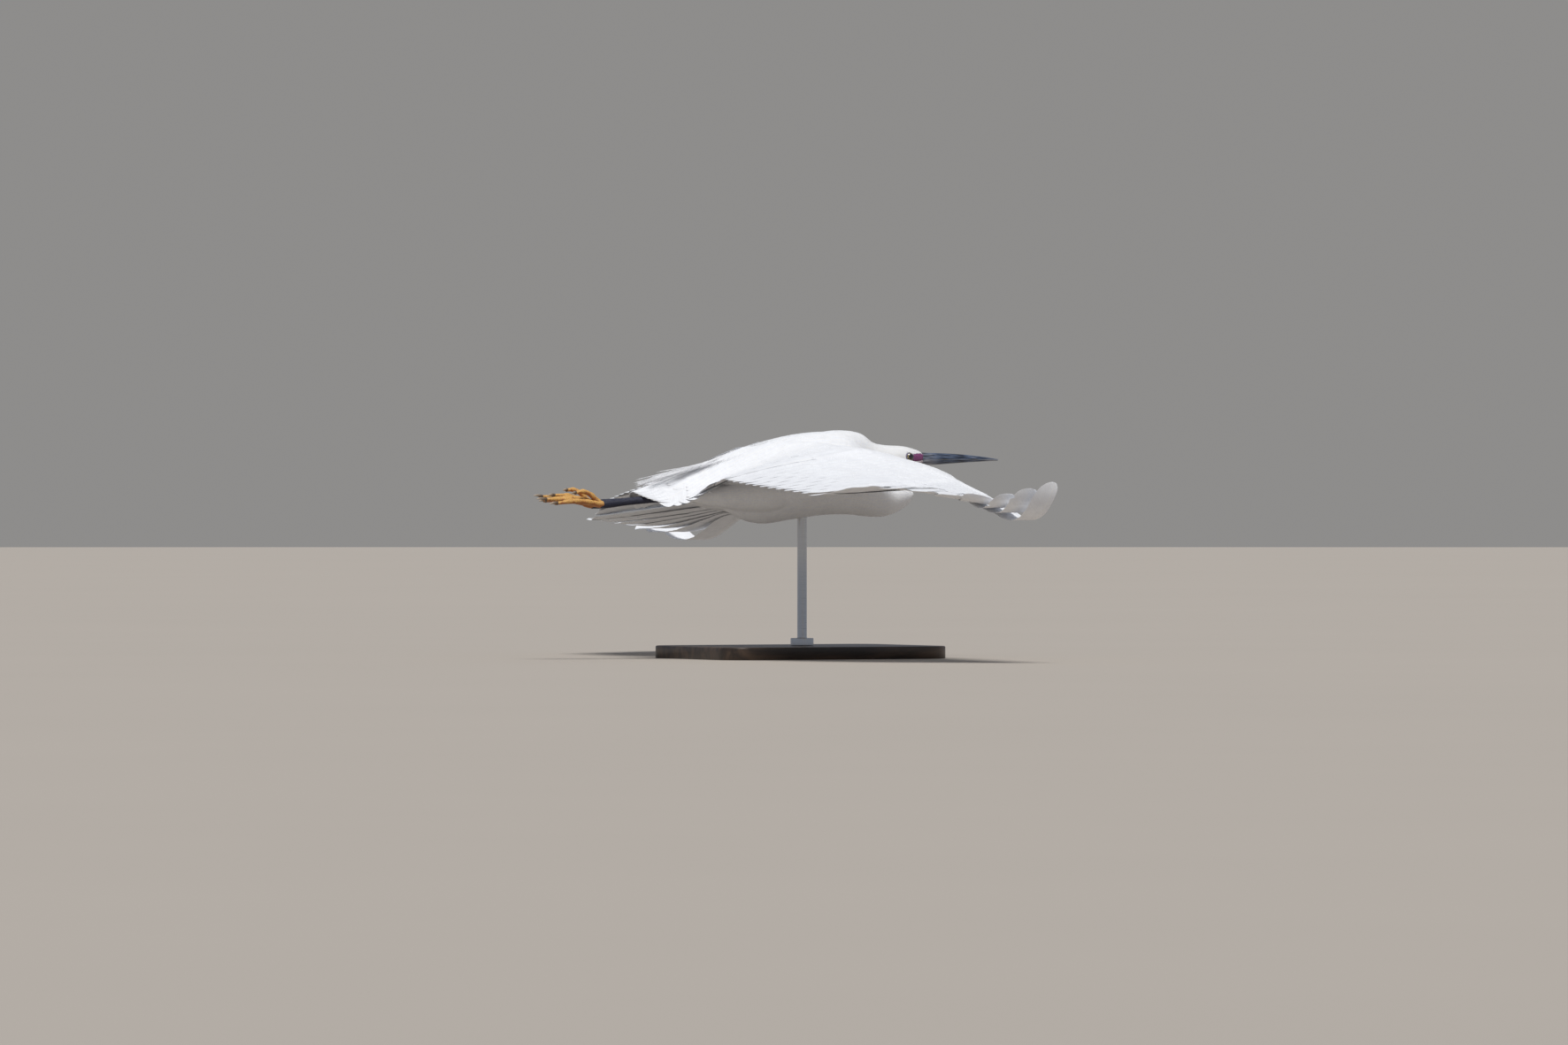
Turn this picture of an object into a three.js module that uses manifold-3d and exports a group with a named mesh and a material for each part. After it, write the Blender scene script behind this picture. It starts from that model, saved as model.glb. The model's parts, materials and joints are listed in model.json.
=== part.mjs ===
// Little egret in flight, wings in mid downstroke, life size, held by a rod on a flat display base.
// Millimetres, +X towards the bill, +Y the bird's left, +Z up; the base's underside is at z = 0.
import * as THREE from "three";
import { mergeVertices } from "three/addons/utils/BufferGeometryUtils.js";
import Module from "manifold-3d";

const wasm = await Module();
wasm.setup();

// Gap left where two pieces meet.
const GAP = 0.3;

// Share of the crowding towards both ends in a body's stations.
const STATION_EASE = 0.6;
const QUARTERS = [0, 0.25, 0.5, 0.75, 1];

// Placing of the bird above the base: its own origin lies between the shoulder joints.
const SHOULDER_HEIGHT = 190;
const SHOULDER_FORWARD = 103.03;
const SHOULDER_SIDEWAYS = 0.86;
const ROLL_DEG = -1.5;
const PITCH_DEG = 0.8;

// Display stand.
const BASE_LENGTH = 240;
const BASE_WIDTH = 180;
const BASE_THICK = 12;
const BASE_CORNER = 26;
const BASE_EDGE = 1.5;
const BASE_CORNER_STEPS = 3;
const BASE_FORWARD = 35;
const ROD_RADIUS = 4.5;
const ROD_FORWARD = 37;
const ROD_TOP = 142;
const COLLAR_RADIUS = 11;
const COLLAR_HEIGHT = 7;
const COLLAR_SHOULDER = 0.6;
const ROD_SIDES = 12;

// Trunk with the folded neck's lower bend: height of back and belly and half width along the body.
const TRUNK_BACK = [[-182, -12], [-165, -3], [-140, 7], [-112, 16], [-80, 24], [-45, 28], [-20, 26], [0, 5],
  [15, -12], [40, -19], [51, -25.5], [54, -30]];
const TRUNK_BELLY = [[-182, -22], [-165, -31], [-140, -55], [-112, -64], [-80, -60], [-45, -55], [-15, -54],
  [12, -56], [28, -54], [44, -46], [51, -39.5], [54, -34]];
const TRUNK_HALF_WIDTH = [[-182, 9], [-165, 16], [-140, 26], [-112, 33], [-80, 37], [-45, 36], [-15, 29],
  [12, 22], [28, 20], [44, 14.5], [51, 9.5], [54, 4]];
const TRUNK_RINGS = 18;
const TRUNK_SIDES = 14;
const TRUNK_NARROW_TOP = 0.3;

// Rear bend of the neck, upper neck and head, up to the bill's base.
const HEAD_CROWN = [[-62, 20], [-42, 28], [-20, 29.5], [-2, 26.5], [10, 18.5], [24, 15.8], [44, 14.6],
  [58, 11.4], [64, 8.9]];
const HEAD_THROAT = [[-62, 0], [-20, -12], [0, -15], [20, -15], [38, -14], [52, -9.5], [64, -4.4]];
const HEAD_HALF_WIDTH = [[-62, 8], [-42, 17], [-20, 16], [0, 11.5], [16, 11.8], [32, 12.8], [44, 11.4],
  [56, 7.6], [64, 5]];
const HEAD_NARROW_TOP = 0.1;
const HEAD_RINGS = 14;
const HEAD_SIDES = 14;
const HEAD_BACK_CUT = 12;
const NAPE_CUT = -20;
const POUCH_SHELF = -15.4;

// Bill.
const BILL_BASE = 64;
const BILL_TIP = 147.5;
const BILL_CULMEN = [[64, 8.4], [80, 8.2], [105, 7.5], [130, 5.7], [147.5, 3.6]];
const BILL_GAPE = [[64, 1.2], [100, 2.4], [147.5, 2.7]];
const BILL_CHIN = [[64, -3.8], [80, -3], [105, -0.9], [130, 0.9], [147.5, 1.9]];
const BILL_HALF_WIDTH = [[64, 4.7], [80, 4.1], [105, 3.1], [130, 1.9], [147.5, 0.6]];
const BILL_RINGS = 9;
const BILL_SIDES = 8;

// Eyes.
const EYE_RADIUS = 4.5;
const EYE_FORWARD = 46;
const EYE_OUT = 7.8;
const EYE_HEIGHT = 3.6;
const EYE_AROUND = 11;
const EYE_DOWN = 8;

// Wing skeleton of the left side: shoulder, elbow, wrist and end of the hand.
const SHOULDER = new THREE.Vector3(0, 24, 1.5);
const ELBOW = new THREE.Vector3(-50, 84, 6);
const WRIST = new THREE.Vector3(8, 168, -27);
const HAND_END = new THREE.Vector3(3, 236, -44);
const FRONT_EDGE_PATH = [[14, 24, -2], [24, 50, -9.5], [30, 80, -14], [29, 124, -17.5], [23, 168, -33],
  [17, 206, -41], [10, 242, -46]];

// Flight feathers: tips of the innermost and outermost secondary, and the row of primary tips.
const SECONDARIES = 12;
const SECONDARY_INNER_TIP = new THREE.Vector3(-190, 80, -24);
const SECONDARY_OUTER_TIP = new THREE.Vector3(-176, 228, -41);
const SECONDARY_TIP_BOW = -5;
const SECONDARY_FIRST = 1.96;
const SECONDARY_LAST = 1.04;
const INNER_FEATHER_ARCH = 4.5;
const PRIMARIES = 10;
const PRIMARY_SAG_INNER = 3;
const PRIMARY_SAG_OUTER = 70;
const PRIMARY_NEAR_AT = 0.36;
const PRIMARY_BEND_AT = 0.96;
const PRIMARY_FIRST = 2.06;
const PRIMARY_LAST = 3;

// Pose of each hand: tips of the primaries, fall of the outer secondaries, and how the outer primaries curl.
const RIGHT_HAND = {
  tips: [[-170, 248, -42], [-152, 294, -36.5], [-119, 334, -40.5], [-79, 362, -46], [-43, 388, -44],
    [-11, 403, -34]],
  fall: 0,
  curlPower: 4,
  sweep: 22,
  halfWidths: [11, 11.5, 10],
};
const LEFT_HAND = {
  tips: [[-170, 248, -52], [-152, 294, -50.5], [-119, 334, -50.5], [-79, 362, -52], [-43, 388, -47],
    [-11, 403, -34]],
  fall: 10,
  curlPower: 5,
  sweep: -38,
  halfWidths: [11, 12.5, 11],
};

// Outer feathers, their curled ends and the thickness of the wing.
const SECONDARY_DROP_SHARES = [0.75, 0.45, 0.2];
const CURLED_PRIMARIES = 3;
const CURLED_THICK = 1.6;
const CURLED_STEPS = 7;
const CURLED_END_CROWDING = 1.5;
const CURLED_ROOT_WIDTH = 0.6;
const CURLED_TIP_ROUNDING = 9;
const CURLED_TIP_BLUNT = 0.02;
const VANE_AHEAD = 0.4;
const VANE_BEHIND = 1.85;
const HIDDEN_UNDER_CURLED = 0.35;
const TIP_SCALLOP = 4;
const FRONT_STEPS = [0, 0.5];
const FEATHER_STEPS = [0, 0.2, 0.55, 1];
const SHEET_THICK = [1.6, 6.5, 8, 5, 2.4, 1.4];
const FRONT_ARCH = 2.5;
const INNER_CUT = 84;
const WRIST_CUT = 168;

// Tertial feathers that drape from the wing's root down the side of the tail.
const TERTIAL_TIP_PATH = [[-186, 72, -25], [-190, 50, -30], [-204, 38, -41], [-232, 28, -47]];
const TERTIAL_ROOT_PATH = [[-60, 70, 6], [-62, 46, 9.5], [-80, 26, 13], [-108, 14, 13]];
const TERTIALS = 5;
const TERTIAL_FIRST = 0.15;
const TERTIAL_LAST = 0.95;

// Tail.
const TAIL_ROWS = 13;
const TAIL_ROOT = new THREE.Vector3(-150, 0, 1);
const TAIL_TIP = new THREE.Vector3(-247, 0, -35);
const TAIL_HALF_ROOT = 9;
const TAIL_HALF_TIP = 28;
const TAIL_DROP = 9.5;
const TAIL_ROOT_DROP = 5;
const TAIL_ROOF_POWER = 1.3;
const TAIL_ROUNDING = 16;
const TAIL_NOTCH = 3;
const TAIL_STEPS = [0, 0.34, 0.68, 1];
const TAIL_THICK = [6, 4, 2.4, 1.6];

// Lace-like plumes of the back, lying over the tail.
const PLUME_COUNT = 5;
const PLUME_ROOT_BACK = -96;
const PLUME_TIP_BACK = -246;
const PLUME_TIP_STAGGER = 18;
const PLUME_SPREAD = [4, 16];
const PLUME_HALF_WIDTHS = [1, 4.6, 5, 3.6, 0.8];
const PLUME_FLATNESS = 0.4;
const PLUME_SIDES = 6;
const PLUME_DROP_SIDE = 5;
const PLUME_DROP_TIP = 2;
const PLUME_RISE = -3;
const RUMP_END = -165;
const RUMP_SLOPE = 0.24;

// Legs, trailed straight back.
const LEG_OUT = 11;
const HIP = new THREE.Vector3(-92, 21, -32);
const ANKLE = new THREE.Vector3(-188, LEG_OUT, -37);
const TOE_BASE = new THREE.Vector3(-285, 9.5, -47);
const THIGH_RADII = [14, 17, 17.5, 16, 12, 6];
const THIGH_SIDES = 10;
const THIGH_HANG = 3;
const THIGH_HANG_AT = 0.72;
const SHIN_RADII = [3.6, 3.4, 3.2];
const TARSUS_RADIUS = 3.6;
const TARSUS_ENDS = [2.6, 4.4, 3];
const ANKLE_RADIUS = 5;
const SHIN_SHOWN = 0.1;
const SHIN_LENGTH = ANKLE.distanceTo(HIP);
const TOES = [
  { reach: 68, out: 1, rise: 3, arch: 2 },
  { reach: 58, out: 8, rise: -2, arch: 3 },
  { reach: 56, out: -7, rise: 3, arch: 4 },
  { reach: 32, out: 3, rise: 8, arch: 7 },
];
const TOE_RADII = [3.2, 3, 2.6, 2.8, 2.2, 1.6, 0.6];
const TOE_SIDES = 6;
const TOE_SPREAD_RATE = 1.6;
const CLAW_START = 0.86;
const LEFT_FOOT_LIFT = 4;
const LEFT_FOOT_REACH = 0.9;
const LEG_SIDES = 8;

const COLOURS = {
  plumage: 0xe6eaf0,
  shade: 0xc9ccd6,
  bill: 0x2c3140,
  eye: 0x0a0a12,
  tibia: 0x25222f,
  tarsus: 0x25222f,
  foot: 0xc08a3c,
  claw: 0xb9a27c,
  base: 0x3a3a3c,
  rod: 0xb8babd,
};

// Material of one kind of surface.
function makeMaterial(name, roughness, metalness) {
  return new THREE.MeshStandardMaterial({ color: COLOURS[name], roughness, metalness });
}

const plumageMaterial = makeMaterial("plumage", 0.85, 0);
const featherMaterial = makeMaterial("shade", 0.8, 0);
const billMaterial = makeMaterial("bill", 0.35, 0);
const eyeMaterial = makeMaterial("eye", 0.1, 0);
const tibiaMaterial = makeMaterial("tibia", 0.5, 0);
const tarsusMaterial = makeMaterial("tarsus", 0.5, 0);
const footMaterial = makeMaterial("foot", 0.55, 0);
const clawMaterial = makeMaterial("claw", 0.45, 0);
const baseMaterial = makeMaterial("base", 0.6, 0);
const rodMaterial = makeMaterial("rod", 0.3, 0.9);

// Smooth curve through the keys, read at x.
function along(keys, x) {
  let i = 0;
  while (i < keys.length - 2 && x > keys[i + 1][0]) i += 1;
  const earlier = keys[Math.max(0, i - 1)];
  const from = keys[i];
  const to = keys[i + 1];
  const later = keys[Math.min(keys.length - 1, i + 2)];
  const span = to[0] - from[0];
  const t = THREE.MathUtils.clamp((x - from[0]) / span, 0, 1);
  const slopeIn = ((to[1] - earlier[1]) / (to[0] - earlier[0])) * span;
  const slopeOut = ((later[1] - from[1]) / (later[0] - from[0])) * span;
  const t2 = t * t;
  const t3 = t2 * t;
  return (2 * t3 - 3 * t2 + 1) * from[1] + (t3 - 2 * t2 + t) * slopeIn
    + (3 * t2 - 2 * t3) * to[1] + (t3 - t2) * slopeOut;
}

// Stations from one end to the other, closer together towards both ends.
function stations(from, to, count) {
  const list = [];
  for (let i = 0; i < count; i += 1) {
    const t = i / (count - 1);
    const eased = 0.5 - 0.5 * Math.cos(Math.PI * t);
    list.push(THREE.MathUtils.lerp(from, to, THREE.MathUtils.lerp(t, eased, STATION_EASE)));
  }
  return list;
}

// Solid from triangles over a list of points.
function solidOf(points, triangles) {
  const vertProperties = new Float32Array(points.flatMap((p) => [p.x, p.y, p.z]));
  const make = (faces) => new wasm.Manifold(new wasm.Mesh({
    numProp: 3, vertProperties, triVerts: new Uint32Array(faces.flat()),
  }));
  const solid = make(triangles);
  if (solid.volume() > 0) return solid;
  return make(triangles.map(([a, b, c]) => [a, c, b]));
}

// Solid skinned over closed rings of equal length, with both ends capped.
function loft(rings) {
  const sides = rings[0].length;
  const points = rings.flat();
  const faces = [];
  for (let r = 0; r < rings.length - 1; r += 1) {
    for (let s = 0; s < sides; s += 1) {
      const a = r * sides + s;
      const b = r * sides + ((s + 1) % sides);
      faces.push([a, b, b + sides], [a, b + sides, a + sides]);
    }
  }
  const last = (rings.length - 1) * sides;
  const middle = (ring) => ring.reduce((sum, p) => sum.add(p), new THREE.Vector3()).divideScalar(sides);
  const first = points.length;
  points.push(middle(rings[0]), middle(rings[rings.length - 1]));
  for (let s = 0; s < sides; s += 1) {
    const next = (s + 1) % sides;
    faces.push([first, next, s], [first + 1, last + s, last + next]);
  }
  return solidOf(points, faces);
}

// Solid of a three.js geometry.
function solidFrom(geometry) {
  const bare = geometry.clone();
  bare.deleteAttribute("normal");
  bare.deleteAttribute("uv");
  const merged = mergeVertices(bare, 1e-4);
  return new wasm.Manifold(new wasm.Mesh({
    numProp: 3,
    vertProperties: merged.attributes.position.array,
    triVerts: new Uint32Array(merged.index.array),
  }));
}

// Named mesh of a solid.
function meshOf(name, solid, material) {
  const made = solid.getMesh();
  const geometry = new THREE.BufferGeometry();
  geometry.setAttribute("position", new THREE.BufferAttribute(made.vertProperties.slice(), 3));
  geometry.setIndex(new THREE.BufferAttribute(made.triVerts.slice(), 1));
  geometry.computeVertexNormals();
  const mesh = new THREE.Mesh(geometry, material);
  mesh.name = name;
  return mesh;
}

const forward = [1, 0, 0];
const upward = [0, 0, 1];

// Part of a solid on the plus side of a plane, half a gap away from it.
function beyond(solid, normal, offset) {
  return solid.trimByPlane(normal, offset + GAP / 2);
}

// Part of a solid on the minus side of a plane, half a gap away from it.
function before(solid, normal, offset) {
  return solid.trimByPlane(normal.map((n) => -n), -offset + GAP / 2);
}

// Loft along the body from profiles of top, bottom and half width, narrower towards the top.
function bodyLoft(top, bottom, halfWidth, count, sides, narrowTop, grow) {
  const rings = stations(top[0][0], top[top.length - 1][0], count).map((station, i) => {
    const high = along(top, station) + grow;
    const low = along(bottom, station) - grow;
    const wide = along(halfWidth, station) + grow;
    const outward = i === 0 ? -grow : 0;
    const x = station + (i === count - 1 ? grow : outward);
    const ring = [];
    for (let s = 0; s < sides; s += 1) {
      const angle = (2 * Math.PI * (s + 0.5)) / sides;
      const rise = Math.sin(angle);
      const squeeze = 1 - narrowTop * Math.max(0, rise) ** 2;
      ring.push(new THREE.Vector3(
        x, wide * squeeze * Math.cos(angle), (high + low) / 2 + ((high - low) / 2) * rise,
      ));
    }
    return ring;
  });
  return loft(rings);
}

// Largest body of a solid that a cut has left in several pieces.
function largest(solid) {
  const pieces = solid.decompose();
  return pieces.reduce((most, piece) => (piece.volume() > most.volume() ? piece : most));
}

// Trunk with the neck's lower bend, or its hollow in a neighbour when grown by the gap.
function trunkSolid(grow) {
  return bodyLoft(
    TRUNK_BACK, TRUNK_BELLY, TRUNK_HALF_WIDTH, TRUNK_RINGS, TRUNK_SIDES, TRUNK_NARROW_TOP, grow,
  );
}

// Neck's rear bend, upper neck and head.
function headSolid(grow) {
  return bodyLoft(HEAD_CROWN, HEAD_THROAT, HEAD_HALF_WIDTH, HEAD_RINGS, HEAD_SIDES, HEAD_NARROW_TOP, grow);
}

// Round limb through centre points with a radius at each.
function limb(centres, radii, sides, flatten = 1) {
  const curve = new THREE.CatmullRomCurve3(centres);
  const rings = radii.map((radius, i) => {
    const t = i / (radii.length - 1);
    const at = curve.getPoint(t);
    const dir = curve.getTangent(t);
    const side = new THREE.Vector3(0, 1, 0).addScaledVector(dir, -dir.y).normalize();
    const up = new THREE.Vector3().crossVectors(dir, side);
    const ring = [];
    for (let s = 0; s < sides; s += 1) {
      const angle = (2 * Math.PI * s) / sides;
      ring.push(at.clone()
        .addScaledVector(side, radius * Math.cos(angle))
        .addScaledVector(up, radius * flatten * Math.sin(angle)));
    }
    return ring;
  });
  return loft(rings);
}

// Thin curved sheet over rows of points, with a thickness for each column.
function sheet(rows, thick) {
  const rings = rows.map((row, r) => {
    const up = [];
    const down = [];
    row.forEach((point, c) => {
      const across = new THREE.Vector3().subVectors(
        rows[Math.min(r + 1, rows.length - 1)][c], rows[Math.max(r - 1, 0)][c],
      );
      const lengthwise = new THREE.Vector3().subVectors(
        row[Math.min(c + 1, row.length - 1)], row[Math.max(c - 1, 0)],
      );
      const normal = new THREE.Vector3().crossVectors(across, lengthwise).normalize();
      up.push(point.clone().addScaledVector(normal, thick[c] / 2));
      down.push(point.clone().addScaledVector(normal, -thick[c] / 2));
    });
    return up.concat(down.reverse());
  });
  return loft(rings);
}

// Single curled feather: a thin blade along a curve, its width lying along the body.
function blade(curve, halfWidth, thick) {
  const rings = [];
  for (let i = 0; i <= CURLED_STEPS; i += 1) {
    const t = 1 - (1 - i / CURLED_STEPS) ** CURLED_END_CROWDING;
    const at = curve.getPoint(t);
    const dir = curve.getTangent(t);
    const side = new THREE.Vector3(1, 0, 0).addScaledVector(dir, -dir.x).normalize();
    const up = new THREE.Vector3().crossVectors(dir, side);
    const rounded = THREE.MathUtils.clamp(CURLED_TIP_ROUNDING * (1 - t), CURLED_TIP_BLUNT, 1);
    const wide = halfWidth * Math.sqrt(rounded) * THREE.MathUtils.lerp(CURLED_ROOT_WIDTH, 1, t);
    const ahead = VANE_AHEAD * wide;
    const behind = -VANE_BEHIND * wide;
    const edge = thick / 3;
    const point = (s, u) => at.clone().addScaledVector(side, s).addScaledVector(up, u);
    rings.push([point(ahead, edge), point(0, thick / 2), point(behind, edge), point(behind, -edge),
      point(0, -thick / 2), point(ahead, -edge)]);
  }
  return loft(rings);
}

// Point on a path given as a short list of corners.
function onPath(path, t) {
  const curve = new THREE.CatmullRomCurve3(path.map((p) => new THREE.Vector3(...p)));
  return curve.getPoint(t);
}

// Front edge of the wing, from the shoulder (0) past the elbow (1) and the wrist (2) to the hand's end (3).
function frontEdge(s) {
  return onPath(FRONT_EDGE_PATH, s / 3);
}

// Root of a flight feather on the bones, at the same measure as the front edge.
function boneAt(s) {
  const bones = [SHOULDER, ELBOW, WRIST, HAND_END];
  const i = Math.min(2, Math.floor(s));
  return bones[i].clone().lerp(bones[i + 1], s - i);
}

// Curve of a primary feather: 1 is the innermost, PRIMARIES the outermost.
function primaryCurve(number, hand) {
  const f = (number - 1) / (PRIMARIES - 1);
  const root = boneAt(THREE.MathUtils.lerp(PRIMARY_FIRST, PRIMARY_LAST, f));
  const tip = onPath(hand.tips, f);
  const curl = f ** hand.curlPower;
  const near = root.clone().lerp(tip, PRIMARY_NEAR_AT);
  const far = root.clone().lerp(tip, PRIMARY_BEND_AT);
  far.x -= hand.sweep * curl;
  far.z -= THREE.MathUtils.lerp(PRIMARY_SAG_INNER, PRIMARY_SAG_OUTER, curl);
  return new THREE.CubicBezierCurve3(root, near, far, tip);
}

// Gently arched curve of an inner flight feather between its root and tip.
function archedCurve(root, tip) {
  const near = root.clone().lerp(tip, 1 / 3);
  const far = root.clone().lerp(tip, 2 / 3);
  near.z += INNER_FEATHER_ARCH;
  far.z += INNER_FEATHER_ARCH;
  return new THREE.CubicBezierCurve3(root, near, far, tip);
}

// Curve of a secondary feather: 1 is next to the primaries.
function secondaryCurve(number, hand) {
  const f = (number - 1) / (SECONDARIES - 1);
  const tip = SECONDARY_OUTER_TIP.clone().lerp(SECONDARY_INNER_TIP, f);
  tip.x += SECONDARY_TIP_BOW * Math.sin(Math.PI * f);
  tip.z -= hand.fall * (SECONDARY_DROP_SHARES[number - 1] ?? 0);
  return archedCurve(boneAt(THREE.MathUtils.lerp(SECONDARY_FIRST, SECONDARY_LAST, f)), tip);
}

// Curve of a tertial feather: 0 lies at the elbow, 1 along the tail's side.
function tertialCurve(f) {
  return archedCurve(onPath(TERTIAL_ROOT_PATH, f), onPath(TERTIAL_TIP_PATH, f));
}

// Row of points from the wing's front edge over the bone and along a feather to its tip.
function wingRow(edge, curve, shown) {
  const root = curve.getPoint(0);
  const front = FRONT_STEPS.map((step) => {
    const p = edge.clone().lerp(root, step);
    p.z += FRONT_ARCH * Math.sin(Math.PI * step);
    return p;
  });
  return front.concat(FEATHER_STEPS.map((step) => curve.getPoint(step * shown)));
}

// Middle row between two rows, its end drawn back to notch the feathers' tips.
function notchRow(rowA, rowB) {
  return rowA.map((p, c) => {
    const mid = p.clone().lerp(rowB[c], 0.5);
    if (c < rowA.length - 1) return mid;
    const inward = new THREE.Vector3().subVectors(rowA[c - 1], p).setLength(TIP_SCALLOP);
    return mid.add(inward);
  });
}

// Whole left wing as one solid, from the tertials to the curled outer primaries.
function wingSolid(hand) {
  const rows = [];
  for (let n = 0; n < TERTIALS; n += 1) {
    const f = n / TERTIALS;
    const edge = frontEdge(THREE.MathUtils.lerp(TERTIAL_FIRST, TERTIAL_LAST, f));
    rows.push(wingRow(edge, tertialCurve(1 - f), 1));
  }
  for (let n = SECONDARIES; n >= 1; n -= 1) {
    const f = (n - 1) / (SECONDARIES - 1);
    const edge = frontEdge(THREE.MathUtils.lerp(SECONDARY_FIRST, SECONDARY_LAST, f));
    rows.push(wingRow(edge, secondaryCurve(n, hand), 1));
  }
  const straight = PRIMARIES - CURLED_PRIMARIES;
  for (let n = 1; n <= straight + 1; n += 1) {
    const f = (n - 1) / (PRIMARIES - 1);
    const edge = frontEdge(THREE.MathUtils.lerp(PRIMARY_FIRST, PRIMARY_LAST, f));
    rows.push(wingRow(edge, primaryCurve(n, hand), n > straight ? 1 - HIDDEN_UNDER_CURLED : 1));
  }
  const notched = [rows[0]];
  for (let r = 1; r < rows.length; r += 1) {
    notched.push(notchRow(rows[r - 1], rows[r]));
    notched.push(rows[r]);
  }
  let wing = sheet(notched, SHEET_THICK);
  for (let n = straight + 1; n <= PRIMARIES; n += 1) {
    const halfWidth = hand.halfWidths[n - straight - 1];
    wing = wing.add(blade(primaryCurve(n, hand), halfWidth, CURLED_THICK));
  }
  return wing;
}

// Tail fan folded like a low roof over the legs.
function tailSolid(grow) {
  const rows = [];
  for (let i = 0; i < TAIL_ROWS; i += 1) {
    const across = (2 * i) / (TAIL_ROWS - 1) - 1;
    const drop = Math.abs(across) ** TAIL_ROOF_POWER;
    const root = TAIL_ROOT.clone();
    root.y += TAIL_HALF_ROOT * across;
    root.z -= TAIL_ROOT_DROP * drop;
    const tip = TAIL_TIP.clone();
    tip.y += TAIL_HALF_TIP * across;
    tip.z -= TAIL_DROP * drop;
    tip.x += TAIL_ROUNDING * across * across + (i % 2 === 0 ? 0 : TAIL_NOTCH);
    rows.push(TAIL_STEPS.map((t) => root.clone().lerp(tip, t)));
  }
  return sheet(rows, TAIL_THICK.map((thick) => thick + 2 * grow));
}

// Height of the back's middle line, carried on over the tail.
function backHeight(x) {
  const rump = along(TRUNK_BACK, Math.max(x, RUMP_END));
  return x > RUMP_END ? rump : rump + (x - RUMP_END) * RUMP_SLOPE;
}

// Lace plumes: narrow strips that run back from between the shoulders over the tail.
function plumeSolid(grow) {
  let plumes = null;
  for (let i = 0; i < PLUME_COUNT; i += 1) {
    const across = (2 * i) / (PLUME_COUNT - 1) - 1;
    const tipBack = PLUME_TIP_BACK + PLUME_TIP_STAGGER * Math.abs(across);
    const centres = QUARTERS.map((t) => {
      const x = THREE.MathUtils.lerp(PLUME_ROOT_BACK, tipBack, t);
      const y = across * THREE.MathUtils.lerp(PLUME_SPREAD[0], PLUME_SPREAD[1], t);
      const drop = (PLUME_DROP_SIDE * across * across + PLUME_DROP_TIP) * t;
      return new THREE.Vector3(x, y, backHeight(x) + PLUME_RISE - drop);
    });
    const halfWidths = PLUME_HALF_WIDTHS.map((half) => half + grow);
    const strip = limb(centres, halfWidths, PLUME_SIDES, PLUME_FLATNESS);
    plumes = plumes ? plumes.add(strip) : strip;
  }
  return plumes;
}

// Upper or lower half of the bill.
function billHalf(upper) {
  const rings = [];
  for (let i = 0; i < BILL_RINGS; i += 1) {
    const x = THREE.MathUtils.lerp(BILL_BASE + GAP, BILL_TIP, i / (BILL_RINGS - 1));
    const gape = along(BILL_GAPE, x);
    const flat = gape + (upper ? GAP / 2 : -GAP / 2);
    const far = along(upper ? BILL_CULMEN : BILL_CHIN, x);
    const wide = along(BILL_HALF_WIDTH, x);
    const ring = [];
    for (let s = 0; s <= BILL_SIDES; s += 1) {
      const angle = (Math.PI * s) / BILL_SIDES;
      ring.push(new THREE.Vector3(x, wide * Math.cos(angle), flat + (far - flat) * Math.sin(angle)));
    }
    rings.push(ring);
  }
  return loft(rings);
}

// Eyeball, or the hollow that holds it when grown by the gap.
function eyeball(side, grow) {
  const ball = new THREE.SphereGeometry(EYE_RADIUS + grow, EYE_AROUND, EYE_DOWN);
  ball.translate(EYE_FORWARD, side * EYE_OUT, EYE_HEIGHT);
  return solidFrom(ball);
}

// Point mirrored to the side of the body it belongs to.
function sided(point, side) {
  return new THREE.Vector3(point.x, point.y * side, point.z);
}

// Point on the line from the hip to the ankle, by the share of its length left to the ankle.
function onShin(share, side) {
  return sided(ANKLE.clone().lerp(HIP, share), side);
}

// Feathered thigh, from the hip to above the bare shin.
function thighSolid(side, grow) {
  const hanging = onShin(THIGH_HANG_AT, side);
  hanging.z -= THIGH_HANG;
  const end = onShin(SHIN_SHOWN - grow / SHIN_LENGTH, side);
  const radii = THIGH_RADII.map((radius) => radius + grow);
  return limb([sided(HIP, side), hanging, end], radii, THIGH_SIDES);
}

// Bare shin between the thigh's feathers and the ankle.
function shinSolid(side) {
  const shin = limb([onShin(SHIN_SHOWN, side), onShin(0, side)], SHIN_RADII, LEG_SIDES);
  return largest(shin.subtract(thighSolid(side, GAP)).subtract(tarsusSolid(side, GAP)));
}

// Shank from the ankle knuckle to the toes.
function tarsusSolid(side, grow) {
  const shank = new Array(4).fill(TARSUS_RADIUS);
  const radii = [TARSUS_ENDS[0], ANKLE_RADIUS, ...shank, TARSUS_ENDS[1], TARSUS_ENDS[2]];
  const ends = [ANKLE.clone(), ANKLE.clone().lerp(TOE_BASE, 0.5), TOE_BASE.clone()];
  ends[0].x += grow;
  ends[2].x -= grow;
  return limb(ends.map((p) => sided(p, side)), radii.map((radius) => radius + grow), LEG_SIDES);
}

// One toe with its claw, trailed back from the shank's end.
function toeSolid(toe, side, lift, reach) {
  const centres = QUARTERS.map((t) => new THREE.Vector3(
    TOE_BASE.x - toe.reach * reach * t,
    TOE_BASE.y + toe.out * Math.min(1, t * TOE_SPREAD_RATE),
    TOE_BASE.z + (toe.rise + lift) * t + toe.arch * Math.sin(Math.PI * t),
  ));
  return limb(centres.map((p) => sided(p, side)), TOE_RADII, TOE_SIDES);
}

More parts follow.
